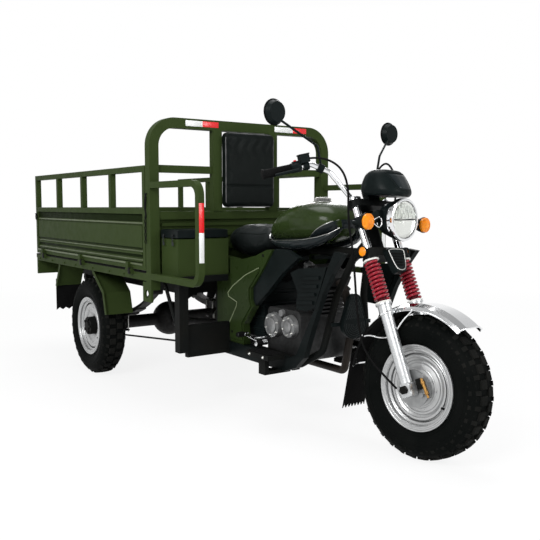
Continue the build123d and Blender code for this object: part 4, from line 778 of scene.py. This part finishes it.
def lens(name, colour, deep, rough):
    """Tinted moulded lens with a shine."""
    finish, tree, face = shader(name, colour, rough)
    face.inputs["Coat Weight"].default_value = 0.3
    face.inputs["Specular IOR Level"].default_value = 0.2
    cloud(tree, face, 45.0, colour, deep)
    return finish


amber_lenses = []
housings = []
arms = []
loops = []
for sign in (-1, 1):
    head = facing(ahead @ Vector((1.192, sign * 0.186, 0.921)), nose)
    profile = [(0.0318, 0.000)]
    for k in range(5):
        r = 0.0315 - 0.0045 * k
        z = 0.0125 + 0.0022 * k
        profile += [(r, z), (r - 0.0012, z + 0.0012), (r - 0.0034, z + 0.0008)]
    profile += [(0.0060, 0.0236), (0.0020, 0.0238)]
    amber_lenses.append(lathe(profile, 40, head))
    housings.append(lathe(((0.0120, -0.0440), (0.0200, -0.0400), (0.0275, -0.0200), (0.0330, -0.0040),
                           (0.0338, 0.0000), (0.0338, 0.0030), (0.0312, 0.0030)), 40, head))
    arms.append([fork @ Vector((0, sign * 0.130, 0.690)), fork @ Vector((0.004, sign * 0.150, 0.690)),
                 ahead @ Vector((1.110, sign * 0.166, 0.916)), ahead @ Vector((1.158, sign * 0.176, 0.920))])
    loop = []
    for k in range(24):
        angle = 2 * math.pi * k / 24
        swell = 0.55 + 0.45 * math.cos(angle)
        loop.append(ahead @ Vector((1.190, sign * (0.122 - 0.032 * math.cos(angle)),
                                    0.922 + 0.030 * swell * math.sin(angle))))
    loops.append(loop)
    mark = facing(fork @ Vector((0, sign * 0.134, 0.566)), fork_left * sign)
    amber_lenses.append(lathe(((0.0185, 0.0000), (0.0185, 0.0095), (0.0160, 0.0112), (0.0110, 0.0114),
                               (0.0100, 0.0120), (0.0030, 0.0122)), 36, mark))
    housings.append(lathe(((0.0210, 0.0000), (0.0222, 0.0020), (0.0222, 0.0090), (0.0210, 0.0104),
                           (0.0187, 0.0100), (0.0184, 0.0000)), 36, mark, closed=True))
amber = lens("amber_lens", (0.82, 0.27, 0.006), (0.70, 0.19, 0.004), 0.2)
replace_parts(piece("indicator_lenses", gather(amber_lenses), amber, "steering", 25), "indicators")
piece("indicator_housings", gather(housings), black_plastic, "steering")
wires("indicator_arms", arms, 0.0085, black_plastic, "steering", "NURBS")
wires("indicator_loops", loops, 0.0030, chrome, "steering", "POLY", True)

# Horn cover: a moulded shield under the headlamp with a chrome outline and five level louvres.
# It is screwed to the front of the lower clamp.
horn = fork @ Matrix.Translation((0.0565, 0, 0.512)) @ Matrix.Rotation(math.radians(90), 4, "Y")
shield = ((-0.044, -0.046), (-0.047, 0.0), (-0.044, 0.046), (-0.034, 0.050), (0.020, 0.036), (0.040, 0.024),
          (0.045, 0.0), (0.040, -0.024), (0.020, -0.036), (-0.034, -0.050))
outline = [horn @ Vector((x, y, 0)) for x, y in shield]
wires("horn_outline", [outline], 0.0024, zinc, "steering", "NURBS", True)
louvres = []
for k in range(5):
    x = -0.026 + 0.012 * k
    half = 0.038 - 0.0050 * k
    louvres.append(pillow((x - 0.0035, -half, -0.002), (x + 0.0035, half, 0.002), 0.0012, horn))
piece("horn_louvres", gather(louvres), soft_rubber, "steering")

# Fuel tank: two deep-drawn halves seamed together, olive enamel under clear lacquer.
# A filler cap with a ribbed edge stands on its neck. Black crescents close the lower flanks,
# and black panels the nose, each under a pale line.
olive_gloss = enamel("olive_gloss", (0.022, 0.036, 0.010), (0.020, 0.033, 0.009), 0.24, 0.10, 0.06)
dress(enamel("olive_panel", (0.020, 0.033, 0.0095), (0.018, 0.030, 0.0085), 0.30, 0.03), "body_panels")
dress(frame_black, "tank_cap")


def hull(rows, around, wide_power, tall_power, tuck):
    """A closed form through rounded sections of (x, half width, low, high), drawn in below by the tuck."""
    points = []
    faces = [list(range(around)), [(len(rows) - 1) * around + k for k in reversed(range(around))]]
    for x, half, low, high in rows:
        for k in range(around):
            angle = 2 * math.pi * k / around
            wide = math.copysign(abs(math.cos(angle)) ** wide_power, math.cos(angle))
            tall = math.copysign(abs(math.sin(angle)) ** tall_power, math.sin(angle))
            narrow = 1.0 - tuck * max(-tall - 0.1, 0)
            points.append((x, half * wide * narrow, (low + high) / 2 + (high - low) / 2 * tall))
    for row in range(len(rows) - 1):
        for k in range(around):
            a = row * around + k
            b = row * around + (k + 1) % around
            faces.append((a, a + around, b + around, b))
    return points, faces


tank_rows = ((0.464, 0.078, 0.822, 0.872), (0.470, 0.098, 0.813, 0.894), (0.500, 0.120, 0.808, 0.929),
             (0.550, 0.138, 0.806, 0.964), (0.620, 0.150, 0.807, 0.996), (0.700, 0.155, 0.810, 1.012),
             (0.780, 0.152, 0.818, 1.012), (0.850, 0.136, 0.832, 0.998), (0.900, 0.104, 0.852, 0.972),
             (0.930, 0.062, 0.880, 0.942))
tank = piece("tank_shell", hull(tank_rows, 40, 0.74, 0.80, 0.30), olive_gloss, "chassis", 60)
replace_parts(tank, "fuel_tank")
bpy.context.view_layer.objects.active = tank
finer = tank.modifiers.new("finer", "SUBSURF")
bpy.ops.object.modifier_apply(modifier=finer.name)
smooth(tank.data, 60)
cap_at = facing((0.741, 0, 1.026), (0, 0, 1), (1, 0, 0))
cap_grip = [lathe(((0.0320, -0.0010), (0.0320, 0.0022), (0.0290, 0.0038), (0.0120, 0.0044)), 36, cap_at),
            lathe(((0.0450, -0.0300), (0.0450, -0.0180), (0.0425, -0.0142), (0.0300, -0.0140)), 48, cap_at)]
for k in range(24):
    angle = 2 * math.pi * k / 24
    spot = cap_at @ Vector((0.0350 * math.cos(angle), 0.0350 * math.sin(angle), -0.0130))
    rib = facing(spot, (0, 0, 1), (1, 0, 0))
    cap_grip.append(lathe(((0.0026, 0), (0.0026, 0.0110), (0.0012, 0.0122)), 8, rib))
piece("tank_cap_grip", gather(cap_grip), zinc, "chassis")
crescents = []
trim_lines = []
for sign in (-1, 1):
    rings = []
    line = []
    for k in range(33):
        share = k / 32
        x = 0.4645 + 0.4650 * share
        left, right = [(p, q) for p, q in zip(tank_rows, tank_rows[1:]) if p[0] <= x <= q[0]][0]
        part = (x - left[0]) / (right[0] - left[0])
        half, low = [p + (q - p) * part for p, q in zip(left[1:3], right[1:3])]
        swell = math.sin(math.pi * share) ** 0.6
        tall = 0.004 + 0.025 * swell
        middle = low + 0.014 - 0.008 * swell
        deep = 0.012 + 0.026 * swell
        out = 0.90 * half + 0.006 + 0.004 * swell
        ring = []
        for j in range(16):
            angle = 2 * math.pi * j / 16
            ring.append((x, sign * (out - deep + deep * math.cos(angle)), middle + tall * math.sin(angle)))
        rings.append(ring)
        line.append((x, sign * (out - deep + deep * 0.72), middle + tall * 0.70))
    crescents.append(loft(rings, sign > 0))
    trim_lines.append(line)
crescent = piece("tank_crescents", gather(crescents), gloss_plastic, "chassis", 60)
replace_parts(crescent, "tank_trims")
wires("tank_trim_lines", trim_lines, 0.0016, zinc, "chassis", "NURBS")

tank_skin = skin_of(tank)
nose_panels = []
nose_lines = []
for sign in (-1, 1):
    inward = Vector((0, -sign, 0))
    field = [(x, sign * 0.3, z) for x, z in ((0.770, 0.846), (0.921, 0.931), (0.921, 0.886), (0.770, 0.834))]
    facing_out = field if sign < 0 else [field[1], field[0], field[3], field[2]]
    nose_panels.append(panel_on(tank_skin, facing_out, inward, 0.0022, 8, 24))
    line = []
    for k in range(17):
        start = Vector(field[0]).lerp(Vector(field[1]), k / 16)
        line.append(tank_skin.ray_cast(start, inward)[0])
    nose_lines.append(line)
front = [(1.2, y, z) for y, z in ((-0.046, 0.932), (0.046, 0.932), (0.040, 0.892), (-0.040, 0.892))]
nose_panels.append(panel_on(tank_skin, front, Vector((-1, 0, 0)), 0.0022, 8, 16))
piece("tank_nose_panels", gather(nose_panels), gloss_plastic, "chassis", 60)
wires("tank_nose_lines", nose_lines, 0.0016, zinc, "chassis", "NURBS")

# Saddle: moulded foam on a pan under black leathercloth, broad at the back and narrow at the tank.
# The cover is sewn along the edge of the top panel, and a pale strip closes its nose.


def leathercloth(name, colour, sheen, rough, shine=0.06):
    """Coated cloth with a pebbled grain and soft highlights."""
    finish, tree, face = shader(name, colour, rough)
    face.inputs["Specular IOR Level"].default_value = shine
    place = add(tree, "TexCoord", {}).outputs["Object"]
    cells = add(tree, "TexVoronoi", {"Scale": 520.0, "Vector": place})
    cloud(tree, face, 14.0, colour, sheen)
    haze(tree, face, 40.0, rough - 0.06, rough + 0.08)
    relief(tree, face, cells.outputs["Distance"], 0.00025)
    return finish


def inflate(item, voxel, most):
    """Swells a closed mesh as stuffed cloth, no point by more than the most, and makes it finer."""
    bpy.context.view_layer.objects.active = item
    even = item.modifiers.new("even", "REMESH")
    even.mode = "VOXEL"
    even.voxel_size = voxel
    bpy.ops.object.modifier_apply(modifier=even.name)
    before = [v.co.copy() for v in item.data.vertices]
    cloth = item.modifiers.new("stuffing", "CLOTH")
    cloth.settings.use_pressure = True
    cloth.settings.uniform_pressure_force = 4.0
    cloth.settings.effector_weights.gravity = 0.0
    for step in range(1, 21):
        bpy.context.scene.frame_set(step)
    bpy.ops.object.modifier_apply(modifier=cloth.name)
    bpy.context.scene.frame_set(1)
    for point, start in zip(item.data.vertices, before):
        move = point.co - start
        point.co = start + move * min(1.0, most / max(move.length, 1e-9))
    finer = item.modifiers.new("finer", "SUBSURF")
    bpy.ops.object.modifier_apply(modifier=finer.name)
    smooth(item.data, 60)


def sewn(name, item, path, radius, finish, body, closed):
    """A line of piping laid on a cushion, each point drawn to the nearest place on its cover."""
    skin = skin_of(item)
    run = [skin.find_nearest(Vector(point))[0] for point in path]
    return wires(name, [run], radius, finish, body, "NURBS", closed)


hide = leathercloth("leathercloth", (0.0028, 0.0042, 0.0038), (0.0042, 0.006, 0.0055), 0.42)
saddle_rows = ((0.124, 0.104, 0.758, 0.846), (0.138, 0.122, 0.748, 0.868), (0.172, 0.133, 0.742, 0.884),
               (0.220, 0.137, 0.736, 0.893), (0.280, 0.134, 0.734, 0.893), (0.330, 0.124, 0.742, 0.889),
               (0.380, 0.110, 0.758, 0.884), (0.420, 0.100, 0.776, 0.884), (0.446, 0.090, 0.796, 0.880))
saddle_hide = leathercloth("saddle_hide", (0.006, 0.008, 0.008), (0.009, 0.012, 0.012), 0.44, 0.24)
saddle_form = hull(saddle_rows, 40, 0.62, 0.55, 0.35)
saddle = piece("saddle_cushion", saddle_form, saddle_hide, "chassis", 60)
inflate(saddle, 0.006, 0.005)
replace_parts(saddle, "seat")
seam = [(x, -0.90 * half, low + 0.74 * (high - low)) for x, half, low, high in saddle_rows]
seam += [(x, 0.90 * half, low + 0.74 * (high - low)) for x, half, low, high in reversed(saddle_rows)]
sewn("saddle_seam", saddle, seam, 0.0018, hide, "chassis", True)
strip = []
for k in range(17):
    angle = math.pi * (1.3 * k / 16 - 0.15)
    strip.append((0.458, 0.094 * math.cos(angle), 0.842 + 0.044 * math.sin(angle)))
wires("saddle_nose_strip", [strip], 0.0042, chrome, "chassis", "NURBS")

# Body panels under the saddle: pressed olive panels with a raised Z-shaped crease, its bead painted pale
# along the edge as a highlight.
# Cross-head screws hold them, and louvred black leg guards close the front.
dress(moulding("guard_plastic", (0.0035, 0.005, 0.005), 0.36, 0.00004, 0.04), "leg_guards")
# Painted highlight: the crease bead is a pale olive that stands in for the light it catches.
crease_highlight = enamel("olive_crease_highlight", (0.20, 0.24, 0.13), (0.13, 0.16, 0.08), 0.4, 0.4)
crease = ((0.533, 0.703), (0.419, 0.661), (0.305, 0.598), (0.263, 0.562), (0.269, 0.544), (0.345, 0.523),
          (0.339, 0.501), (0.262, 0.396))
creases = [[(x, sign * 0.2116, z) for x, z in crease] for sign in (-1, 1)]
wires("panel_creases", creases, 0.0026, crease_highlight, "chassis")
screws = []
for sign in (-1, 1):
    for x, z, y in ((0.560, 0.762, 0.205), (0.300, 0.372, 0.212), (0.180, 0.350, 0.205),
                    (0.180, 0.720, 0.205)):
        screws.append(lathe(((0.0070, -0.001), (0.0066, 0.0022), (0.0040, 0.0032), (0.0012, 0.0026)), 16,
                            facing((x, sign * y, z), (0, sign, 0))))
piece("panel_screws", gather(screws), frame_black, "chassis")

# Teardrop grille in front of the engine: a black moulding with a wire mesh above and nested arcs below.
# It is clipped to the down tubes.
lattice = []
for k in range(-9, 10):
    for lean_way in (-1, 1):
        run = []
        for t in range(9):
            y = 0.012 * k + lean_way * 0.006 * (t - 4)
            z = 0.500 + 0.0130 * t
            if abs(y) < 0.060 - 0.30 * (z - 0.500):
                run.append((0.9668, y, z))
        if len(run) > 1:
            lattice.append(run)
wire_grey = moulding("wire_grey", (0.022, 0.025, 0.025), 0.45, 0.00002)
wires("grille_mesh", lattice, 0.0009, wire_grey, "chassis")
arcs = []
for k in range(6):
    r = 0.012 + 0.009 * k
    arcs.append([(0.9668, r * math.cos(math.radians(a)), 0.476 + r * math.sin(math.radians(a)))
                 for a in range(170, 371, 10)])
wires("grille_arcs", arcs, 0.0011, wire_grey, "chassis")
rim_line = []
for k in range(48):
    angle = 2 * math.pi * k / 48
    r, lift = (0.0335, 0.575) if math.sin(angle) > 0 else (0.0655, 0.480)
    rim_line.append((0.9665, r * math.cos(angle), lift + r * math.sin(angle)))
wires("grille_rim", [rim_line], 0.0028, black_plastic, "chassis", "NURBS", True)

# Foot pedals: a chromed heel-and-toe lever on each side, with ribbed rubber sleeves on its ends.
# The sleeves push over the lever's cross pins.
dress(chrome, "foot_pedals")
for side, sign in sides:
    sleeves = []
    for x, z in ((0.452, 0.384), (0.610, 0.366)):
        profile = [(0.0105, 0.000)]
        for k in range(5):
            low = 0.001 + 0.0068 * k
            profile += [(0.0120, low), (0.0130, low + 0.0015), (0.0130, low + 0.0040),
                        (0.0120, low + 0.0055)]
        profile += [(0.0105, 0.0360)]
        sleeves.append(lathe(profile, 24, facing((x, sign * 0.2435, z), (0, sign, 0))))
    piece("pedal_rubbers_" + side, gather(sleeves), soft_rubber, "chassis")

# Tool boxes: folded olive sheet under black lids on two hinges, with a bead round the top of each lid.
# Toggle latches on the outer side pull each lid down by a wire hook over its catch.
olive = enamel("olive_enamel", (0.031, 0.047, 0.0145), (0.028, 0.043, 0.013), 0.40, 0.015)
dress(olive, "toolboxes")
for side, sign in sides:
    toggles = []
    catches = []
    hooks = []
    for x in (0.146, 0.240):
        out = facing((x, sign * 0.502, 0.812), (0, sign, 0))
        toggles.append(pillow((-0.007, -0.011, -0.001), (0.007, 0.006, 0.005), 0.0018, out))
        catches.append(pillow((-0.008, 0.031, -0.003), (0.008, 0.041, 0.003), 0.0015, out))
        hooks.append([out @ Vector(p) for p in ((-0.0050, 0.002, 0.0045), (-0.0050, 0.0425, 0.0030),
                                                (0.0050, 0.0425, 0.0030), (0.0050, 0.002, 0.0045))])
    piece("latch_toggles_" + side, gather(toggles), wire_grey, "chassis")
    piece("latch_catches_" + side, gather(catches), frame_black, side + "_lid")
    wires("latch_hooks_" + side, hooks, 0.0014, wire_grey, "chassis")
    lid_corners = ((0.119, 0.2300), (0.278, 0.2300), (0.278, 0.4950), (0.119, 0.4950))
    bead = [(x, sign * y, 0.8755) for x, y in lid_corners]
    wires("lid_bead_" + side, [bead], 0.0024, black_plastic, side + "_lid", "POLY", True)

# Load box: welded tube and pressed sheet, olive enamel, with drop sides and a tailgate on pin hinges.
# The sides have raised ridges in a lighter olive as a painted highlight and darker strips of painted shade
# in their channels, and close on rubber seals.
# Black clips wrap the fixed half of each hinge, and bolts hold the bed rail.
dress(olive, "cargo_floor", "bulkhead_hoop", "bulkhead_panel", "side_guards", "side_right", "side_left",
      "tailgate", "rear_mudguards")
# Painted highlight on the ridges in a lighter olive, and painted shade as thin darker olive strips laid in
# the channels.
olive_ridge_highlight = enamel("olive_ridge_highlight", (0.085, 0.110, 0.050), (0.060, 0.080, 0.032), 0.34, 0.2)
olive_channel_shade = enamel("olive_channel_shade", (0.010, 0.016, 0.005), (0.008, 0.013, 0.004), 0.5, 0.01)
for side, sign in sides:
    pressing = skin_of(nodes["side_" + side])
    ridges = []
    shade_strips = []
    for z in (0.9040, 0.7640, 0.7200, 0.6990):
        y = pressing.ray_cast(Vector((-0.9, sign * 0.8, z)), Vector((0, -sign, 0)))[0].y
        ridges.append([(-1.606, y, z), (0.018, y, z)])
    for low, high in ((0.9120, 0.9545), (0.7770, 0.7830), (0.7320, 0.7500), (0.7050, 0.7110)):
        y = pressing.ray_cast(Vector((-0.9, sign * 0.8, (low + high) / 2)), Vector((0, -sign, 0)))[0].y
        low_y, high_y = sorted((y - sign * 0.001, y + sign * 0.0010))
        shade_strips.append(pillow((-1.606, low_y, low), (0.018, high_y, high), 0.0004))
    wires("side_ridges_" + side, ridges, 0.0055, olive_ridge_highlight, side + "_side")
    piece("side_shade_strips_" + side, gather(shade_strips), olive_channel_shade, side + "_side")
seals = []
for sign in (-1, 1):
    low_y, high_y = sorted((sign * 0.528, sign * 0.5535))
    seals.append(pillow((-1.6560, low_y, 0.640), (0.044, high_y, 0.6672), 0.002))
seals.append(pillow((-1.6560, -0.528, 0.640), (-1.6340, 0.528, 0.6672), 0.002))
piece("bed_seals", gather(seals), soft_rubber, "chassis")
clips = []
bed_back = -1.636
bed_length = 1.686
tailgate_half = 0.518
for sign in (-1, 1):
    for share in (0.10, 0.50, 0.90):
        x = bed_back + share * bed_length
        low_x, high_x = sorted((x, x - sign * 0.030))
        low_y, high_y = sorted((sign * 0.5565, sign * 0.5775))
        clips.append(pillow((low_x + 0.001, low_y, 0.645), (high_x - 0.001, high_y, 0.6775), 0.004))
for share in (-0.77, 0, 0.77):
    y = share * tailgate_half
    clips.append(pillow((-1.6625, y - 0.029, 0.645), (-1.6415, y - 0.001, 0.6775), 0.004))
piece("hinge_clips", gather(clips), frame_black, "chassis")
rail_bolts = []
for sign in (-1, 1):
    for x in (-1.570, -1.330, -1.100, -0.910, -0.640, -0.400, -0.210):
        rail_bolts.append(hex_bolt(facing((x, sign * 0.555, 0.637), (0, sign, 0)), 0.0052, 0.006))
piece("rail_bolts", gather(rail_bolts), olive, "chassis")

# Reflective tape: red and white retroreflective strips stuck to the front of the hoop and the guard loops.
# The film has a fine honeycomb under a glossy face.


def tape(name, colour, dark):
    """Retroreflective film: a honeycomb of small cells under a clear face."""
    finish, tree, face = shader(name, colour, 0.25)
    place = add(tree, "TexCoord", {}).outputs["Object"]
    cells = add(tree, "TexVoronoi", {"Scale": 190.0, "Vector": place})
    cells.feature = "DISTANCE_TO_EDGE"
    edge = add(tree, "MapRange", {"From Max": 0.10, "Value": cells.outputs["Distance"]})
    tint(tree, face, edge.outputs["Result"], dark, colour)
    return finish


red_strips = []
white_strips = []
for low, high, strips in ((-0.356, -0.260, white_strips), (-0.260, -0.167, red_strips),
                          (0.182, 0.303, white_strips), (0.303, 0.396, red_strips)):
    strips.append(pillow((0.1075, low, 1.3830), (0.1086, high, 1.4110), 0.0004))
for sign in (-1, 1):
    y = sign * 0.540
    red_strips.append(pillow((0.5775, y - 0.0125, 0.874), (0.5786, y + 0.0125, 1.003), 0.0004))
    white_strips.append(pillow((0.5775, y - 0.0125, 0.743), (0.5786, y + 0.0125, 0.874), 0.0004))
tape_red = tape("tape_red", (0.72, 0.008, 0.012), (0.50, 0.006, 0.008))
tape_white = tape("tape_white", (0.74, 0.75, 0.74), (0.60, 0.61, 0.60))
piece("tape_red_strips", gather(red_strips), tape_red, "chassis")
piece("tape_white_strips", gather(white_strips), tape_white, "chassis")

# Latches of the drop sides: a bent wire loop, a snap hook and a short chain on an eye of the hoop's leg.
# A ring on each rear corner of the sides takes the same hook.
for side, sign in sides:
    y = sign * 0.5605
    loop = [(0.070, y, 1.050), (0.063, y, 1.030), (0.058, y, 0.985), (0.061, y, 0.972), (0.068, y, 0.980),
            (0.076, y, 1.030)]
    snap = [(0.062, y, 0.976), (0.070, y, 0.958), (0.074, y, 0.938), (0.067, y, 0.926), (0.060, y, 0.936)]
    staple = [(0.076, sign * 0.553, 1.048), (0.076, sign * 0.564, 1.048), (0.064, sign * 0.564, 1.048),
              (0.064, sign * 0.553, 1.048)]
    wires("latch_loop_" + side, [loop], 0.0030, frame_black, "chassis", "NURBS", True)
    wires("latch_snap_" + side, [snap], 0.0034, frame_black, "chassis", "NURBS")
    wires("latch_eye_" + side, [staple], 0.0028, frame_black, "chassis")
    links = []
    for k in range(7):
        ring = []
        for a in range(12):
            angle = 2 * math.pi * a / 12
            wide = 0.0052 * math.cos(angle)
            along, out = (wide, 0.0) if k % 2 else (0.0, wide)
            drop = 0.916 - 0.0165 * k + 0.0100 * math.sin(angle)
            ring.append((0.068 + along, y + sign * 0.001 + out, drop))
        links.append(ring)
    wires("latch_chain_" + side, links, 0.0017, frame_black, "chassis", "POLY", True)
    ring = []
    for a in range(16):
        angle = 2 * math.pi * a / 16
        ring.append((-1.618 + 0.014 * math.cos(angle), sign * 0.5595, 0.916 + 0.020 * math.sin(angle)))
    wires("corner_ring_" + side, [ring], 0.0030, frame_black, side + "_side", "POLY", True)
    staple = [(-1.626, sign * 0.553, 0.936), (-1.626, sign * 0.564, 0.936), (-1.610, sign * 0.564, 0.936),
              (-1.610, sign * 0.553, 0.936)]
    wires("corner_staple_" + side, [staple], 0.0026, frame_black, side + "_side")

# Backrest: a foam pad in black leathercloth on the two posts of the hoop, piped round the front.
# One seam crosses it below the middle, and the cover gathers in soft folds towards the top.
pad_core = nodes["backrest_pad"].data
pad_shape = [v.co.copy() for v in pad_core.vertices], [list(p.vertices) for p in pad_core.polygons]
backrest = piece("backrest_cushion", pad_shape, hide, "chassis", 60)
inflate(backrest, 0.006, 0.007)
for point in backrest.data.vertices:
    x, y, z = point.co
    if x > 0.130:
        fold = max(0.0, min(1.0, (z - 1.20) / 0.10)) * max(0.0, min(1.0, (1.350 - z) / 0.02))
        gather_depth = 0.0016 * math.sin(110 * y + 1.5 * math.sin(60 * z)) * fold
        stitch_depth = 0.0045 * math.exp(-((z - 1.092) / 0.006) ** 2)
        point.co.x = x + gather_depth - stitch_depth
    point.co.x = max(point.co.x, 0.1084)
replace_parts(backrest, "backrest_pad")
border = []
for y, z, next_y, next_z in ((-0.128, 0.983, 0.128, 0.983), (0.151, 1.006, 0.151, 1.339),
                             (0.128, 1.362, -0.128, 1.362), (-0.151, 1.339, -0.151, 1.006)):
    for k in range(11):
        border.append((0.148, y + (next_y - y) * k / 10, z + (next_z - z) * k / 10))
piping = leathercloth("piping", (0.05, 0.052, 0.052), (0.14, 0.14, 0.14), 0.3)
sewn("backrest_piping", backrest, border, 0.0028, piping, "chassis", True)
crossing = [(0.150, -0.140 + 0.28 * k / 14, 1.092) for k in range(15)]
sewn("backrest_seam", backrest, crossing, 0.0010, hide, "chassis", False)

# Tail end: ribbed red lamps in black frames on the rear beam, and toothed rubber flaps behind the wheels.
# The flaps hang from the rear mudguards.
red_lens = lens("red_lens", (0.42, 0.010, 0.010), (0.30, 0.006, 0.006), 0.16)
dress(red_lens, "tail_lamps")
dress(soft_rubber, "rear_flaps")
frames = []
ribs = []
for sign in (-1, 1):
    frame_corners = ((0.328, 0.558), (0.472, 0.558), (0.472, 0.620), (0.328, 0.620))
    frames.append([(-1.6470, sign * y, z) for y, z in frame_corners])
    for k in range(9):
        y = sign * (0.342 + 0.0145 * k)
        ribs.append([(-1.6502, y, 0.566), (-1.6502, y, 0.612)])
wires("tail_lamp_frames", frames, 0.0034, black_plastic, "chassis", "POLY", True)
wires("tail_lamp_ribs", ribs, 0.0012, red_lens, "chassis")

# Studio: a plain pale floor, a white surround and soft lamps, seen by the camera of the photograph.
# Floor and surround show white up to a dim ceiling, and the floor keeps the machine's shadow.
bpy.ops.mesh.primitive_plane_add(size=60, location=(0, 0, 0))
floor = bpy.context.object
floor.name = "studio_floor"


def shown_white(tree):
    """A factor that is one for the camera, reflections and glass, and none for other light."""
    path = add(tree, "LightPath", {})
    factor = path.outputs["Is Camera Ray"]
    for ray in ("Is Glossy Ray", "Is Transmission Ray"):
        either = add(tree, "Math", {0: factor, 1: path.outputs[ray]})
        either.operation = "MAXIMUM"
        factor = either.outputs["Value"]
    return factor


floor_white, tree, face = shader("floor_white", (0.82, 0.82, 0.82), 0.9)
face.inputs["Specular IOR Level"].default_value = 0.0
glow = add(tree, "Emission", {"Color": (1, 1, 1, 1), "Strength": 1.0})
away = add(tree, "VectorMath", {0: add(tree, "TexCoord", {}).outputs["Object"]})
away.operation = "LENGTH"
fade = add(tree, "MapRange", {"From Min": 2.0, "From Max": 5.5, "To Min": 0.86, "To Max": 1.0,
                              "Value": away.outputs["Value"]})
seen = add(tree, "Math", {0: fade.outputs["Result"], 1: shown_white(tree)})
seen.operation = "MULTIPLY"
mixed = add(tree, "MixShader", {0: seen.outputs["Value"], 1: face.outputs["BSDF"],
                                2: glow.outputs["Emission"]})
tree.links.new(mixed.outputs["Shader"], tree.nodes["Material Output"].inputs["Surface"])
floor.data.materials.append(floor_white)

surround = bpy.data.worlds.new("studio")
bpy.context.scene.world = surround
surround.use_nodes = True
sky = surround.node_tree
ambient = sky.nodes["Background"]
ambient.inputs["Color"].default_value = (0.95, 0.97, 1.0, 1)
ambient.inputs["Strength"].default_value = 0.32
parts = add(sky, "SeparateXYZ", {"Vector": add(sky, "TexCoord", {}).outputs["Generated"]})
ceiling = add(sky, "MapRange", {"From Min": 0.25, "From Max": 0.70, "To Min": 1.0, "To Max": 0.40,
                                "Value": parts.outputs["Z"]})
white = add(sky, "Background", {"Color": (1, 1, 1, 1), "Strength": ceiling.outputs["Result"]})
mixed = add(sky, "MixShader", {0: shown_white(sky), 1: ambient.outputs["Background"],
                               2: white.outputs["Background"]})
sky.links.new(mixed.outputs["Shader"], sky.nodes["World Output"].inputs["Surface"])


def soft_lamp(name, place, target, size, power):
    """One soft square lamp aimed at a point."""
    data = bpy.data.lights.new(name, "AREA")
    data.size = size
    data.energy = power
    rig = bpy.data.objects.new(name, data)
    bpy.context.scene.collection.objects.link(rig)
    rig.location = place
    rig.rotation_euler = (Vector(target) - Vector(place)).to_track_quat("-Z", "Y").to_euler()


soft_lamp("key_lamp", (2.6, -4.4, 3.6), (0, 0, 0.6), 2.4, 260)
soft_lamp("fill_lamp", (5.0, 1.2, 2.2), (0.8, 0, 0.6), 2.0, 90)
soft_lamp("top_lamp", (-0.4, 0.2, 5.0), (0, 0, 0.5), 3.0, 150)
soft_lamp("back_lamp", (-4.0, 3.5, 3.0), (-0.5, 0, 0.7), 2.2, 110)

eye = bpy.data.cameras.new("photo_camera")
eye.sensor_width = 36
eye.lens = 48.78
camera = bpy.data.objects.new("photo_camera", eye)
bpy.context.scene.collection.objects.link(camera)
camera.location = (3.3343, -2.1193, 0.9962)
camera.rotation_euler = Vector((-0.8144213, 0.57341138, -0.0889794)).to_track_quat("-Z", "Y").to_euler()
bpy.context.scene.camera = camera
bpy.context.scene.view_settings.view_transform = "Standard"

import json
